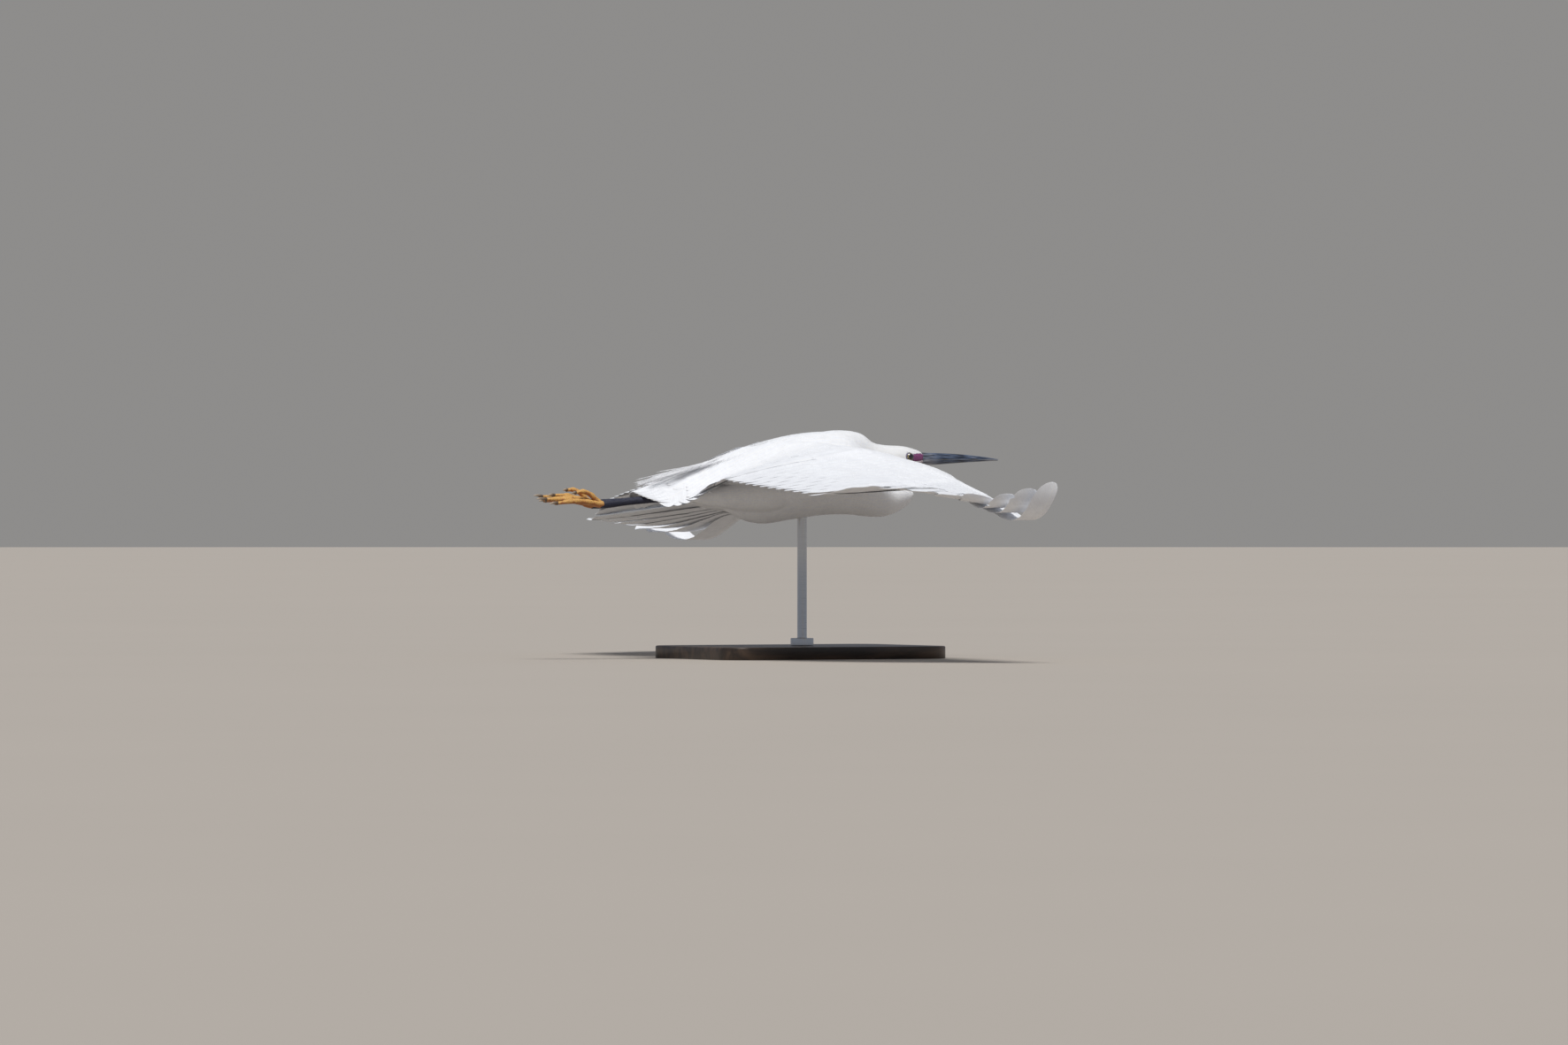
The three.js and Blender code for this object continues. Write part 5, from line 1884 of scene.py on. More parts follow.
def plume_tree() -> FeatherTree:
    """Builds the tree that turns a line into a shaft with loose barbs down both sides.

    Returns:
        The tree's kit.
    """
    kit = FeatherTree("barb_plumes", {
        "Barb": "Object", "Stations": "Int", "Shaft Radius": "Float", "Barb Length": "Float",
        "Barb Width": "Float", "Spread": "Float",
    })
    given = kit.given
    lines = kit.first("GeometryNodeMeshToCurve", {0: given["Geometry"]})
    even = kit.first("GeometryNodeResampleCurve", {"Curve": lines, "Count": given["Stations"]})
    way = kit.node("GeometryNodeSplineParameter").outputs["Factor"]
    thinning = kit.math("SUBTRACT", 1.0, kit.math("MULTIPLY", way, 0.8))
    slim = kit.first("GeometryNodeSetCurveRadius", {"Curve": even, "Radius": thinning})
    ring = kit.first("GeometryNodeCurvePrimitiveCircle", {"Resolution": 5, "Radius": given["Shaft Radius"]})
    marked = {"Curve": kit.stored(slim, "way", way, "FLOAT"), "Profile Curve": ring, "Fill Caps": True}
    facing = kit.split(kit.first("GeometryNodeInputNormal"))[1]
    own = kit.joined(kit.kept("way", "FLOAT"), kit.math("MULTIPLY", facing, 0.5))
    parts = [kit.stored(kit.first("GeometryNodeCurveToMesh", marked), "own", own, "FLOAT_VECTOR")]
    tangent, up = kit.first("GeometryNodeInputTangent"), kit.kept("up")
    side = kit.vector("NORMALIZE", kit.vector("CROSS_PRODUCT", up, tangent))
    starting = kit.math("MULTIPLY_ADD", kit.ramp(way, 0.02, 0.3), 0.75, 0.25)
    ending = kit.math("SUBTRACT", 1.0, kit.math("MULTIPLY", kit.math("POWER", way, 3.0), 0.75))
    longest = kit.math("MULTIPLY", kit.math("MULTIPLY", starting, ending), given["Barb Length"])
    for sign, offset in ((1.0, 1), (-1.0, 2)):
        open_out = kit.math("MULTIPLY", kit.chance(0.55, 1.35, offset), given["Spread"])
        sideways = kit.scaled(side, kit.math("MULTIPLY", open_out, sign))
        sag = kit.scaled(up, kit.chance(-0.16, 0.06, offset + 4))
        direction = kit.vector("NORMALIZE", kit.vector("ADD", kit.vector("ADD", tangent, sideways), sag))
        length = kit.math("MULTIPLY", longest, kit.chance(0.7, 1.25, offset + 8))
        scale = kit.joined(length, given["Barb Width"], given["Barb Width"])
        parts.append(kit.laid(even, "Barb", scale, (direction, "X"), (up, "Z")))
    join = kit.node("GeometryNodeJoinGeometry")
    for part in parts:
        kit.tree.links.new(part, join.inputs[0])
    kit.dress(kit.first("GeometryNodeRealizeInstances", {0: join.outputs[0]}), kit.kept("span"))
    return kit


def feather_shape(name: str, ends: Sequence[float], outline: Keys) -> Object:
    """Makes the pattern of a small feather with a frayed tip, one long and one wide.

    Args:
        name: Name of the pattern.
        ends: Where each column of the tip ends, as a share of the length.
        outline: Share of the full width along the feather.

    Returns:
        The pattern, which isn't part of the model.
    """
    metre, tiny = 1000, 1e-3
    fray, before = 0.72, 0.74
    ends = np.array(ends)
    columns = np.linspace(-1, 1, len(ends))
    rows = np.array([0, 0.2, 0.45, 0.7, 0.86, 1.0])[:, None]
    t = np.vstack([rows[:4] + 0 * columns, np.maximum(fray + (ends - fray) * 0.45, before), ends])
    wide = along(outline, rows)
    flat = grid(t, columns * wide * 0.5, 0.0)[None]
    shell = 0.5 * (1 - columns**4) * (1 - 0.6 * t)
    piece = Mesher()
    up = np.array([0.0, 0.0, 1.0])
    add_vanes(piece, flat * metre, up, 0.0, shell[None] * tiny, own=flat, rise=(t**1.5)[None])
    made = piece.build(name, bpy.data.materials[0], on_bird=False)
    set_mark(made.data, "shell", read_vectors(made.data, "co")[:, 2:] / (tiny * MM))
    return made


def barb_shape(name: str) -> Object:
    """Makes the pattern of one loose barb of a plume, three-sided and one long.

    Args:
        name: Name of the pattern.

    Returns:
        The pattern, which isn't part of the model.
    """
    metre = 1000
    t = np.array([0, 0.3, 0.65, 1.0])[:, None]
    size = np.array([0.8, 1.0, 0.7, 0.12])[:, None] * metre / 2
    angle = turns(3)
    piece = Mesher()
    add_tube(piece, grid(t * metre, size * np.cos(angle), size * np.sin(angle)),
             own=grid(t, np.cos(angle) * 0.5, 0.0))
    return piece.build(name, bpy.data.materials[0], on_bird=False)


# Coat


@dataclass(frozen=True)
class Tile:
    """Part of the unwrap that a region of the body takes."""

    u: tuple
    v: tuple

    def spot(self, along_it: Array, round_it: Array) -> Array:
        """Place on the unwrap by the shares along and round the region."""
        return grid(mix(*self.u, along_it), mix(*self.v, round_it), 0.0)

    def back_spot(self, x: Array, across: Array) -> Array:
        """Place on the unwrap of a root on the back, by its place along and across the body."""
        return self.spot(TRUNK.share(x), 0.5 + across)


@dataclass(frozen=True)
class CoatRegion:
    """Stretch of the body with its feathers' sizes along it, in millimetres."""

    name: str
    pattern: str
    form: BodyForm
    reach: tuple
    angles: tuple
    length: Keys
    width: Keys
    lift: Keys
    tile: Tile
    exposed: float = 0.24
    packed: float = 0.5
    fall: float = 0.0


ALL_ROUND = (-math.pi / 2, 3 * math.pi / 2)
BODY_TILE = Tile((0.02, 0.62), (0.02, 0.45))
HEAD_TILE = Tile((0.02, 0.62), (0.50, 0.80))
FINE_OUTLINE = ((0, 0.45), (0.3, 0.95), (0.6, 1.0), (0.86, 0.72), (1, 0.4))
SOFT_OUTLINE = ((0, 0.35), (0.25, 0.85), (0.6, 1.0), (0.86, 0.85), (1, 0.5))
REGIONS = (
    CoatRegion(
        "coat_head", "fine", HEAD, (8, 66), ALL_ROUND,
        length=((8, 6.5), (24, 5), (44, 3.8), (58, 2.8), (66, 2.4)),
        width=((8, 2.1), (24, 1.7), (44, 1.35), (66, 1.0)),
        lift=((8, 0.22), (30, 0.18), (66, 0.12)), tile=HEAD_TILE, exposed=0.27, packed=0.55, fall=0.15,
    ),
    CoatRegion(
        "coat_neck", "soft", HEAD, (-60, 10), ALL_ROUND,
        length=((-60, 17), (-30, 13), (10, 7.5)), width=((-60, 4.4), (-30, 3.8), (10, 2.3)),
        lift=((-60, 0.22), (10, 0.15)), tile=HEAD_TILE, fall=0.3,
    ),
    CoatRegion(
        "coat_back", "soft", TRUNK, (-176, 54), (0.35, math.pi - 0.35),
        length=((-176, 22), (-140, 24), (-60, 22), (0, 16), (54, 10)),
        width=((-176, 6), (-60, 6.5), (0, 5), (54, 3.4)),
        lift=((-176, 0.28), (54, 0.2)), tile=BODY_TILE, fall=0.15,
    ),
    CoatRegion(
        "coat_belly", "soft", TRUNK, (-176, 54), (math.pi - 0.35, math.tau + 0.35),
        length=((-176, 26), (-140, 27), (-100, 24), (-40, 22), (10, 17), (54, 9)),
        width=((-176, 7), (-60, 7.2), (10, 5), (54, 3.2)),
        lift=((-176, 0.24), (-60, 0.2), (54, 0.15)), tile=BODY_TILE, fall=0.1,
    ),
)


class Coat:
    """Small feathers of head, neck, trunk and thighs."""

    KEEP_WITHIN = 1.9
    TIP_WITHIN = 0.5
    TIP_SHARE = 0.3
    THICKNESS = 0.1
    BED = 0.12
    SIZE_SPREAD = 0.14
    STRAY = 0.07
    FACING = 0.2
    THIGH_SPACING = (2.7, 3.1)

    def __init__(self, skin: Object, ground: SkinField, eyes: Eyes, depth: Skin, finish: Material) -> None:
        """Keeps what the feathers stand on.

        Args:
            skin: The skin of the body.
            ground: The same skin, ready to be searched.
            eyes: The eyes, whose surroundings stay bare.
            depth: Depths of the skin under the coat.
            finish: The feathers' finish.
        """
        self.skin = skin
        self.ground = ground
        self.eyes = eyes
        self.depth = depth
        self.finish = finish
        self.rng = np.random.default_rng(7)
        self.tree = coat_tree()
        self.patterns = {
            "fine": feather_shape("pattern_fine", (0.8, 1.0, 0.84), FINE_OUTLINE),
            "soft": feather_shape("pattern_soft", (0.78, 0.95, 1.0, 0.93, 0.80), SOFT_OUTLINE),
        }

    def rows(self, region: CoatRegion) -> tuple[Array, Array]:
        """Sets out roots row by row on a round form, as places along the body and angles round it.

        Args:
            region: The region.

        Returns:
            Places along the body and angles round it.
        """
        places, angles = [], []
        x, shift = region.reach[0], 0.0
        fine = np.linspace(*region.angles, 400)
        while x < region.reach[1]:
            run = run_along(region.form.surface(x, fine, self.depth.depth))
            count = max(3, int(run[-1] / (float(along(region.width, x)) * region.packed)))
            even = (np.arange(count) + shift + self.rng.uniform(-0.3, 0.3, count)) * run[-1] / count
            step = float(along(region.length, x)) * region.exposed
            places.append(x + self.rng.uniform(-0.35, 0.35, count) * step)
            angles.append(np.interp(np.clip(even, 0, run[-1]), run, fine))
            shift = 0.5 - shift
            x += step
        return np.concatenate(places), np.concatenate(angles)

    def settle(self, name: str, pattern: str, points: Array, lie: Array, sizes: Array, spots: Array) -> None:
        """Moves roots onto the skin and grows a piece of the coat.

        Args:
            name: Name of the piece.
            pattern: Its feather.
            points: Roots near the skin.
            lie: Directions that the feathers point in.
            sizes: Length, width and lift of each.
            spots: Place of each root on the unwrap.
        """
        places, normals, distance = self.ground.nearest(points)
        keep = (distance < self.KEEP_WITHIN) & ~self.eyes.bare(places)
        places, normals, lie, sizes, spots = (rows[keep] for rows in (places, normals, lie, sizes, spots))
        lie = lie + self.rng.normal(0, self.STRAY, lie.shape)
        lie = unit(lie - normals * (lie * normals).sum(axis=1, keepdims=True))
        _, facing, astray = self.ground.nearest(places + lie * sizes[:, :1])
        keep = astray < self.TIP_WITHIN + self.TIP_SHARE * sizes[:, 0]
        keep &= (facing * normals).sum(axis=1) > self.FACING
        places, normals, lie, sizes, spots = (rows[keep] for rows in (places, normals, lie, sizes, spots))
        turn = PLACING.turn().T
        mesh = bpy.data.meshes.new(name)
        mesh.vertices.add(len(places))
        mesh.vertices.foreach_set("co", PLACING.place(places).astype(np.float32).reshape(-1))
        marks = {"lie": lie @ turn, "up": normals @ turn, "span": sizes * MM, "root_uv": spots}
        for mark, values in marks.items():
            set_mark(mesh, mark, values)
        made = link(name, mesh)
        self.tree.grow(
            made, Feather=self.patterns[pattern], Skin=self.skin, Thickness=self.THICKNESS * MM,
            Size_Spread=self.SIZE_SPREAD, Bed=self.BED * MM, Seed=len(places), Finish=self.finish,
        )
        made.data.shade_flat()
        finish_piece(made, "plumage")

    def on_form(self, region: CoatRegion) -> None:
        """Grows a region of the trunk, neck or head.

        Args:
            region: The region.
        """
        x, angle = self.rows(region)
        form = region.form
        inset = self.depth.inset(x) if form is HEAD else self.depth.depth
        lie = -unit(form.surface(x + 1.0, angle, inset) - form.surface(x - 1.0, angle, inset))
        lie[:, 2] -= region.fall * np.abs(np.cos(angle))
        sizes = grid(*(along(keys, x) for keys in (region.length, region.width, region.lift)))
        spots = region.tile.spot(form.share(x), (angle + math.pi / 2) / math.tau % 1)
        self.settle(region.name, region.pattern, form.surface(x, angle, inset), lie, sizes, spots)

    def on_thigh(self, side: Side) -> None:
        """Grows the loose feathers of a thigh.

        Args:
            side: The side.
        """
        path = LEG.thigh_path()
        length = np.linalg.norm(np.diff(path.at(np.linspace(0, 1, 50)), axis=0), axis=1).sum()
        across, down = self.THIGH_SPACING
        ts, angles = [], []
        t = -0.02
        while t < 0.99:
            count = max(6, int(math.tau * float(LEG.thigh_radius(t)) / across))
            angles.append((np.arange(count) + self.rng.uniform(0, 1, count)) / count * 2 * math.pi)
            ts.append(np.clip(t + self.rng.uniform(-0.014, 0.014, count), 0, 0.99))
            t += down / length
        t, angle = np.concatenate(ts), np.concatenate(angles)
        radius = (LEG.thigh_radius(t) - self.depth.depth)[:, None]
        points = ring_round(path, t, radius, angle[:, None])[:, 0]
        lie = unit(path.at(np.minimum(t + 0.01, 1)) - path.at(np.maximum(t - 0.01, 0)))
        low = 0.02 if side is Side.LEFT else 0.28
        spots = Tile((0.66, 0.98), (low, low + 0.22)).spot(t, angle / math.tau % 1)
        mirror = np.array([1, side.value, 1])
        sizes = grid(mix(19, 12, t), mix(6, 4.2, t), 0.3)
        self.settle(f"coat_thigh_{side.word}", "soft", points * mirror, lie * mirror, sizes, spots)

    def build(self) -> None:
        """Grows every piece of the coat, then removes the patterns."""
        for region in REGIONS:
            self.on_form(region)
        for side in Side:
            self.on_thigh(side)
        for pattern in self.patterns.values():
            bpy.data.objects.remove(pattern)


# Long feathers of the back and under the tail


class Drape:
    """Heights of what lies below the long feathers of the back or above those under the tail."""

    STEP = 2.0
    FAR = 90

    def __init__(self, pieces: Sequence[Object], face: Face, reach: Sequence[Sequence[float]]) -> None:
        """Casts a grid of rays and eases the heights.

        Args:
            pieces: What is covered.
            face: UPPER for what is seen from above, LOWER for below.
            reach: Lowest and highest X, and lowest and highest Y.
        """
        self.face = face
        self.low = [low for low, _ in reach]
        lines = (np.arange(low, high + self.STEP, self.STEP) for low, high in reach)
        x, y = np.meshgrid(*lines, indexing="ij")
        starts = grid(x, y, self.FAR * face.value)
        depth = np.full(x.shape, np.nan)
        for piece in pieces:
            depth = np.fmin(depth, SkinField(piece).cast(starts, (0, 0, -face.value)))
        height, weight = np.nan_to_num(-depth), (~np.isnan(depth)).astype(float)
        for _ in range(3):
            height, weight = self.eased(height), self.eased(weight)
        height = np.where(weight > 0.02, height / np.maximum(weight, 1e-6) + self.FAR, -self.FAR)
        self.height = height * face.value

    def eased(self, heights: Array) -> Array:
        """Evens a grid out with its neighbours."""
        wide = np.pad(heights, 1, mode="edge")
        across = (wide[:-2] + 2 * wide[1:-1] + wide[2:]) / 4
        return (across[:, :-2] + 2 * across[:, 1:-1] + across[:, 2:]) / 4

    def at(self, x: Array, y: Array) -> Array:
        """Reads the height at places of the bird's frame, in millimetres."""
        steps = [(value - low) / self.STEP for value, low in zip((x, y), self.low)]
        inside = [np.clip(s, 0, size - 1.001) for s, size in zip(steps, self.height.shape)]
        return read_table(self.height, *inside)


@dataclass(frozen=True)
class LooseRow:
    """Row of larger feathers draped over the back or under the tail."""

    root: tuple
    root_end: tuple
    tip: tuple
    tip_end: tuple
    count: int
    half_width: float
    lift: float


SCAPULARS = (
    LooseRow((-128, 26), (-104, 8), (-206, 40), (-202, 12), 8, 6.5, 0.9),
    LooseRow((-104, 36), (-86, 8), (-190, 54), (-180, 12), 11, 6.2, 0.85),
    LooseRow((-84, 38), (-66, 9), (-166, 56), (-156, 12), 12, 6.0, 0.8),
    LooseRow((-62, 38), (-46, 10), (-138, 57), (-124, 12), 12, 5.8, 0.75),
    LooseRow((-42, 37), (-28, 10), (-108, 55), (-94, 13), 12, 5.4, 0.7),
    LooseRow((-24, 35), (-12, 11), (-80, 51), (-68, 13), 11, 5.0, 0.65),
    LooseRow((-8, 32), (0, 13), (-54, 45), (-44, 14), 10, 4.6, 0.6),
    LooseRow((6, 28), (8, 14), (-30, 38), (-24, 15), 8, 4.2, 0.55),
)
TAIL_COVERTS = (
    LooseRow((-150, 13), (-150, 1), (-212, 24), (-216, 2), 6, 6.5, 0.6),
    LooseRow((-142, 14), (-142, 1), (-198, 22), (-200, 2), 6, 6.2, 0.65),
    LooseRow((-132, 15), (-132, 1), (-182, 20), (-184, 2), 6, 6.0, 0.7),
)
UNDER_TAIL = (
    LooseRow((-164, 9), (-166, 1), (-214, 13), (-218, 2), 4, 7.5, 0.7),
    LooseRow((-152, 11), (-154, 1), (-198, 13), (-202, 2), 4, 7.5, 0.8),
    LooseRow((-140, 12), (-142, 1), (-184, 14), (-188, 2), 4, 7.5, 0.9),
)


class LooseFeathers:
    """Scapulars and tail coverts, draped over what they cover."""

    OUTLINE = ((0, 0.3), (0.2, 0.75), (0.5, 1.0), (0.75, 0.95), (0.9, 0.7), (0.97, 0.4), (1, 0.05))
    COLUMNS = np.array([-1, -0.6, -0.08, 0, 0.08, 0.6, 1])
    STATIONS = np.array([0, 0.1, 0.22, 0.36, 0.5, 0.62, 0.73, 0.82, 0.9, 0.955, 0.985, 1.0])
    SHAFT = np.array([0, 0, 0.3, 1, 0.3, 0, 0])
    VANE = np.array([0, 0.26, 0.3, 0.3, 0.3, 0.26, 0])

    def __init__(self, drape: Drape, finish: Material) -> None:
        """Keeps the heights that the feathers lie on, and their finish."""
        self.drape = drape
        self.finish = finish
        self.rng = np.random.default_rng(23)

    def row(self, piece: Mesher, row: LooseRow) -> None:
        """Lays a row of feathers.

        Args:
            piece: Piece that they join.
            row: The row.
        """
        columns, t = self.COLUMNS, self.STATIONS[:, None]
        number = np.arange(row.count)
        share = (number / (row.count - 1))[:, None]
        jitter = self.rng.uniform(-1.5, 1.5, (2, row.count, 2))
        root = mix(np.array(row.root, float), np.array(row.root_end, float), share) + jitter[0]
        tip = mix(np.array(row.tip, float), np.array(row.tip_end, float), share) + 1.5 * jitter[1]
        way = unit(tip - root)
        half = row.half_width * along(self.OUTLINE, t) * self.rng.uniform(0.9, 1.1, row.count)[:, None, None]
        lateral = half * columns
        side = grid(way[:, 1], -way[:, 0])[:, None, None]
        spot = mix(root[:, None], tip[:, None], t)[:, :, None] + side * lateral[..., None]
        x, y = np.moveaxis(spot, -1, 0)
        z = self.drape.at(x, y)
        slopes = (self.drape.at(x + 2, y) - z) / 2, (self.drape.at(x, y + 2) - z) / 2
        normal = unit(grid(-slopes[0], -slopes[1], 1.0)) * self.drape.face.value
        over = 0.1 * number[:, None, None] / row.count
        height = 0.15 + 0.55 * row.lift * t**1.3 - 0.35 * columns**2 + over
        run = t * np.linalg.norm(tip - root, axis=1)[:, None, None]
        spots = BODY_TILE.back_spot(root[:, 0], root[:, 1] / 160)[:, :2]
        add_vanes(piece, grid(x, y, z), normal, height, np.maximum(self.SHAFT * mix(0.75, 0.3, t), self.VANE),
                  Vane=grid(run / 10, lateral / 10), OFBake=patch_map(spots, columns, t[:, 0]))

    def lay(self, name: str, rows: Sequence[LooseRow], side: Side) -> None:
        """Lays rows of feathers on one side.

        Args:
            name: Name of the piece, without its side.
            rows: The rows, the lowest first.
            side: The side.
        """
        piece = Mesher()
        for row in rows:
            self.row(piece, row)
        finish_piece(piece.build(f"{name}_{side.word}", self.finish, side, sharp=0), "plumage")


@dataclass(frozen=True)
class Plumes:
    """Long loose breeding plumes of the back."""

    shafts: int = 40
    root: tuple = (-104, -58)
    tip: tuple = (-241, -208)
    spread_at: tuple = (9, 19)
    line: Keys = ((-262, -30), (-241, -24.5), (-200, -13.5), (-165, -5.5), (-140, 2), (-112, 9), (-58, 15))
    stray: tuple = (-6, 1)
    stations: int = 62
    barb_length: float = 15
    barb_width: float = 0.22
    shaft_radius: float = 0.3
    spread: float = 0.4
    map_width: float = 0.5

    def lines(self, drape: Drape) -> tuple[Array, Array]:
        """Lays the shafts over the back, as points and as each root's place on the unwrap.

        Args:
            drape: Heights of the back, wings and tail.

        Returns:
            Points as (shafts, stations, 3), and spots.
        """
        rng = np.random.default_rng(31)
        a = np.linspace(-1, 1, self.shafts) + rng.uniform(-0.03, 0.03, self.shafts)
        t = np.linspace(0, 1, 25)
        root = rng.uniform(*self.root, self.shafts)
        tip = rng.uniform(0, 1, self.shafts) ** 1.5 * (self.tip[1] - self.tip[0])
        tip = self.tip[0] + 10 * np.abs(a) + tip
        x = mix(root[:, None], tip[:, None], t)
        wave = rng.uniform(0, math.tau, (2, self.shafts, 1))
        y = a[:, None] * mix(*self.spread_at, t) + 2.2 * np.sin(4.4 * t + wave[0]) * t
        loose = rng.uniform(*self.stray, (self.shafts, 1)) * t**1.5
        loose = loose + 1.4 * np.sin(5.1 * t + wave[1]) * t**2
        z = np.maximum(drape.at(x, y) + 0.5, along(self.line, x) + loose)
        for _ in range(4):
            z[:, 1:-1] = (z[:, :-2] + 2 * z[:, 1:-1] + z[:, 2:]) / 4
        return grid(x, y, z - 1.2 * (1 - t) ** 4), BODY_TILE.back_spot(root, a * 0.1)

    def build(self, drape: Drape, finish: Material) -> None:
        """Makes the plumes.

        Args:
            drape: Heights of the back, wings and tail.
            finish: Their finish.
        """
        points, spots = self.lines(drape)
        total, count = points.shape[0] * points.shape[1], points.shape[1]
        start = np.arange(total).reshape(-1, count)[:, :-1].reshape(-1)
        mesh = bpy.data.meshes.new("back_plumes")
        mesh.from_pydata(PLACING.place(points.reshape(-1, 3)).tolist(), grid(start, start + 1).tolist(), [])
        set_mark(mesh, "up", np.broadcast_to(PLACING.turn() @ [0, 0, 1], (total, 3)))
        set_mark(mesh, "root_uv", np.repeat(spots, count, axis=0))
        set_mark(mesh, "span", np.broadcast_to([self.barb_length * MM, self.map_width * MM, 0.0], (total, 3)))
        made = link("back_plumes", mesh)
        barb = barb_shape("pattern_barb")
        plume_tree().grow(
            made, Barb=barb, Stations=self.stations, Shaft_Radius=self.shaft_radius * MM,
            Barb_Length=self.barb_length * MM, Barb_Width=self.barb_width * MM, Spread=self.spread,
            Seed=5, Finish=finish,
        )
        bpy.data.objects.remove(barb)
        finish_piece(made, "plumage")


# Legs


@dataclass(frozen=True)
class Toe:
    """One toe by its reach, spread, rise and arch."""

    reach: float
    out: float
    rise: float
    arch: float
    joints: tuple


@dataclass(frozen=True)
class Leg:
    """Bare leg and foot, trailed back with the sole up."""

    side: Side
    toe_lift: float
    toe_reach: float
    shin_radii: Keys = ((0, 3.1), (0.5, 3.5), (1, 4.4))
    tarsus_radii: Keys = (
        (0, 3.3), (0.04, 4.8), (0.1, 5.0), (0.2, 3.8), (0.45, 3.4), (0.75, 3.5), (0.9, 4.2), (1, 3.6)
    )
    toes: tuple = (
        Toe(68, 1, 3, 2, (0.26, 0.5, 0.7)),
        Toe(58, 8, -2, 3, (0.24, 0.46, 0.66)),
        Toe(56, -7, 3, 4, (0.28, 0.56)),
        Toe(32, 3, 8, 7, (0.3, 0.62)),
    )
    toe_radii: Keys = ((0, 3.2), (0.17, 3.0), (0.33, 2.6), (0.5, 2.7), (0.67, 2.2), (0.83, 1.6), (1, 0.6))
    toe_ends: tuple = (0.05, 0.84)
    spread_rate: float = 1.6
    claw_from: float = 0.86

    def toe_path(self, toe: Toe) -> SmoothPath:
        """Line through the middle of a toe.

        Args:
            toe: The toe.

        Returns:
            The line, from the ball of the foot to the tip.
        """
        t = np.linspace(0, 1, 9)
        x, y, z = LEG.toe_base
        x = x - toe.reach * self.toe_reach * t
        y = y + toe.out * np.minimum(1, self.spread_rate * t)
        z = z + (toe.rise + self.toe_lift) * t + toe.arch * np.sin(math.pi * t)
        return SmoothPath(grid(x, y, z))

    def limb(self, names: tuple[str, str], path: SmoothPath, radii: Keys, finish: Material, scutes: int,
             rings: int) -> None:
        """Makes a scaled length of leg, its scutes overlapping down the front.

        Args:
            names: Name of the piece, and of the CAD node that it stands for.
            path: Its line.
            radii: Its radius along the line.
            finish: Its finish.
            scutes: Number of scutes down the front.
            rings: Number of rings.
        """
        t, angle = np.linspace(0, 1, rings)[:, None], turns(28)[None]
        front = np.clip(-np.sin(angle), 0, 1) ** 0.6
        plate = 0.16 * ((t * scutes) % 1 - 0.5) * front
        ridge = 0.1 * np.sin(angle * 7 + 2.2 * np.sin(t * scutes * 2)) * (1 - front)
        radius = along(radii, t) + plate + ridge
        piece = Mesher()
        add_tube(piece, ring_round(path, t[:, 0], radius, angle, 1.04), sole=0 * radius)
        name, node = (f"{word}_{self.side.word}" for word in names)
        finish_piece(piece.build(name, finish, self.side), "leg_skin", node)

    def foot(self, finish: Material) -> None:
        """Makes the toes with their pads and the ball of the foot.

        Args:
            finish: Its finish.
        """
        piece = Mesher()
        angle = turns(24)[None]
        first, last = self.toe_ends
        sole, top = np.clip(np.sin(angle), 0, 1), np.clip(-np.sin(angle), 0, 1) ** 0.5
        for toe in self.toes:
            t = np.linspace(0, self.claw_from + 0.02, 90)[:, None]
            pads = sum(bump(joint, 0.07, t) for joint in (first, *toe.joints, last))
            creases = sum(bump(joint + shift, 0.012, t) for joint in toe.joints for shift in (-0.09, 0.09))
            swell = 0.9 + 0.2 * pads * sole - 0.1 * creases * sole + 0.05 * pads
            radius = along(self.toe_radii, t) * swell + 0.09 * (((t * 24) % 1) - 0.5) * top
            # Painted light: higher on the upward-facing sole and on the pads, lower as painted shade in the
            # joint creases.
            painted_light = 0.5 + 0.5 * np.sin(angle) + 0.25 * pads - 0.3 * creases
            add_tube(piece, ring_round(self.toe_path(toe), t[:, 0], radius, angle, 0.92), sole=painted_light)
        base = np.array(LEG.toe_base, float)
        ball = SmoothPath([base + [7, 0, 0.4], base + [0, 0, 0.3], base + [-9, 0.6, 0.6]])
        t = np.linspace(0, 1, 30)[:, None]
        radius = 4.2 * np.sqrt(np.clip(1 - (1.9 * t - 0.95) ** 2, 0.01, 1)) + 0.1 * np.sin(angle * 6 + t * 9)
        # Painted light on the upward-facing side of the ball of the foot.
        painted_light = 0.5 + 0.5 * np.sin(angle) + 0 * t
        add_tube(piece, ring_round(ball, t[:, 0], radius, angle, 0.85), sole=painted_light)
        word = self.side.word
        finish_piece(piece.build(f"toes_{word}", finish, self.side), "foot_skin", f"foot_{word}")

    def claws(self, finish: Material) -> None:
        """Makes the four claws, curved towards the sole.

        Args:
            finish: Its finish.
        """
        word, angle = self.side.word, turns(16)[None]
        u = np.linspace(0, 1, 28)
        radius = (1.75 * (1 - u**1.6) + 0.12)[:, None] * (1 + 0.06 * np.cos(angle * 2))
        for number, toe in enumerate(self.toes, 1):
            line = self.toe_path(toe).at(mix(self.claw_from - 0.03, 0.985, u))
            line[:, 2] += 2.2 * np.sin(u * math.pi * 0.62) - 1.4 * u
            piece = Mesher()
            add_tube(piece, ring_round(SmoothPath(line), u, radius, angle), way=u[:, None] + 0 * angle)
            made = piece.build(f"talon_{word}_{number}", finish, self.side)
            finish_piece(made, "claw", f"claw_{word}_{number}")

    def build(self, finishes: Finishes) -> None:
        """Makes the whole leg.

        Args:
            finishes: Every finish of the piece.
        """
        shin = SmoothPath([LEG.on_shin(0.28), LEG.on_shin(0.14), LEG.on_shin(0.0)])
        self.limb(("tibia", "shin"), shin, self.shin_radii, finishes.leg, 7, 60)
        middle = mix(np.array(LEG.ankle), np.array(LEG.toe_base), 0.5)
        tarsus = SmoothPath([LEG.ankle, middle, LEG.toe_base])
        self.limb(("shank", "tarsus"), tarsus, self.tarsus_radii, finishes.leg, 30, 260)
        self.foot(finishes.foot)
        self.claws(finishes.claw)


# Stand


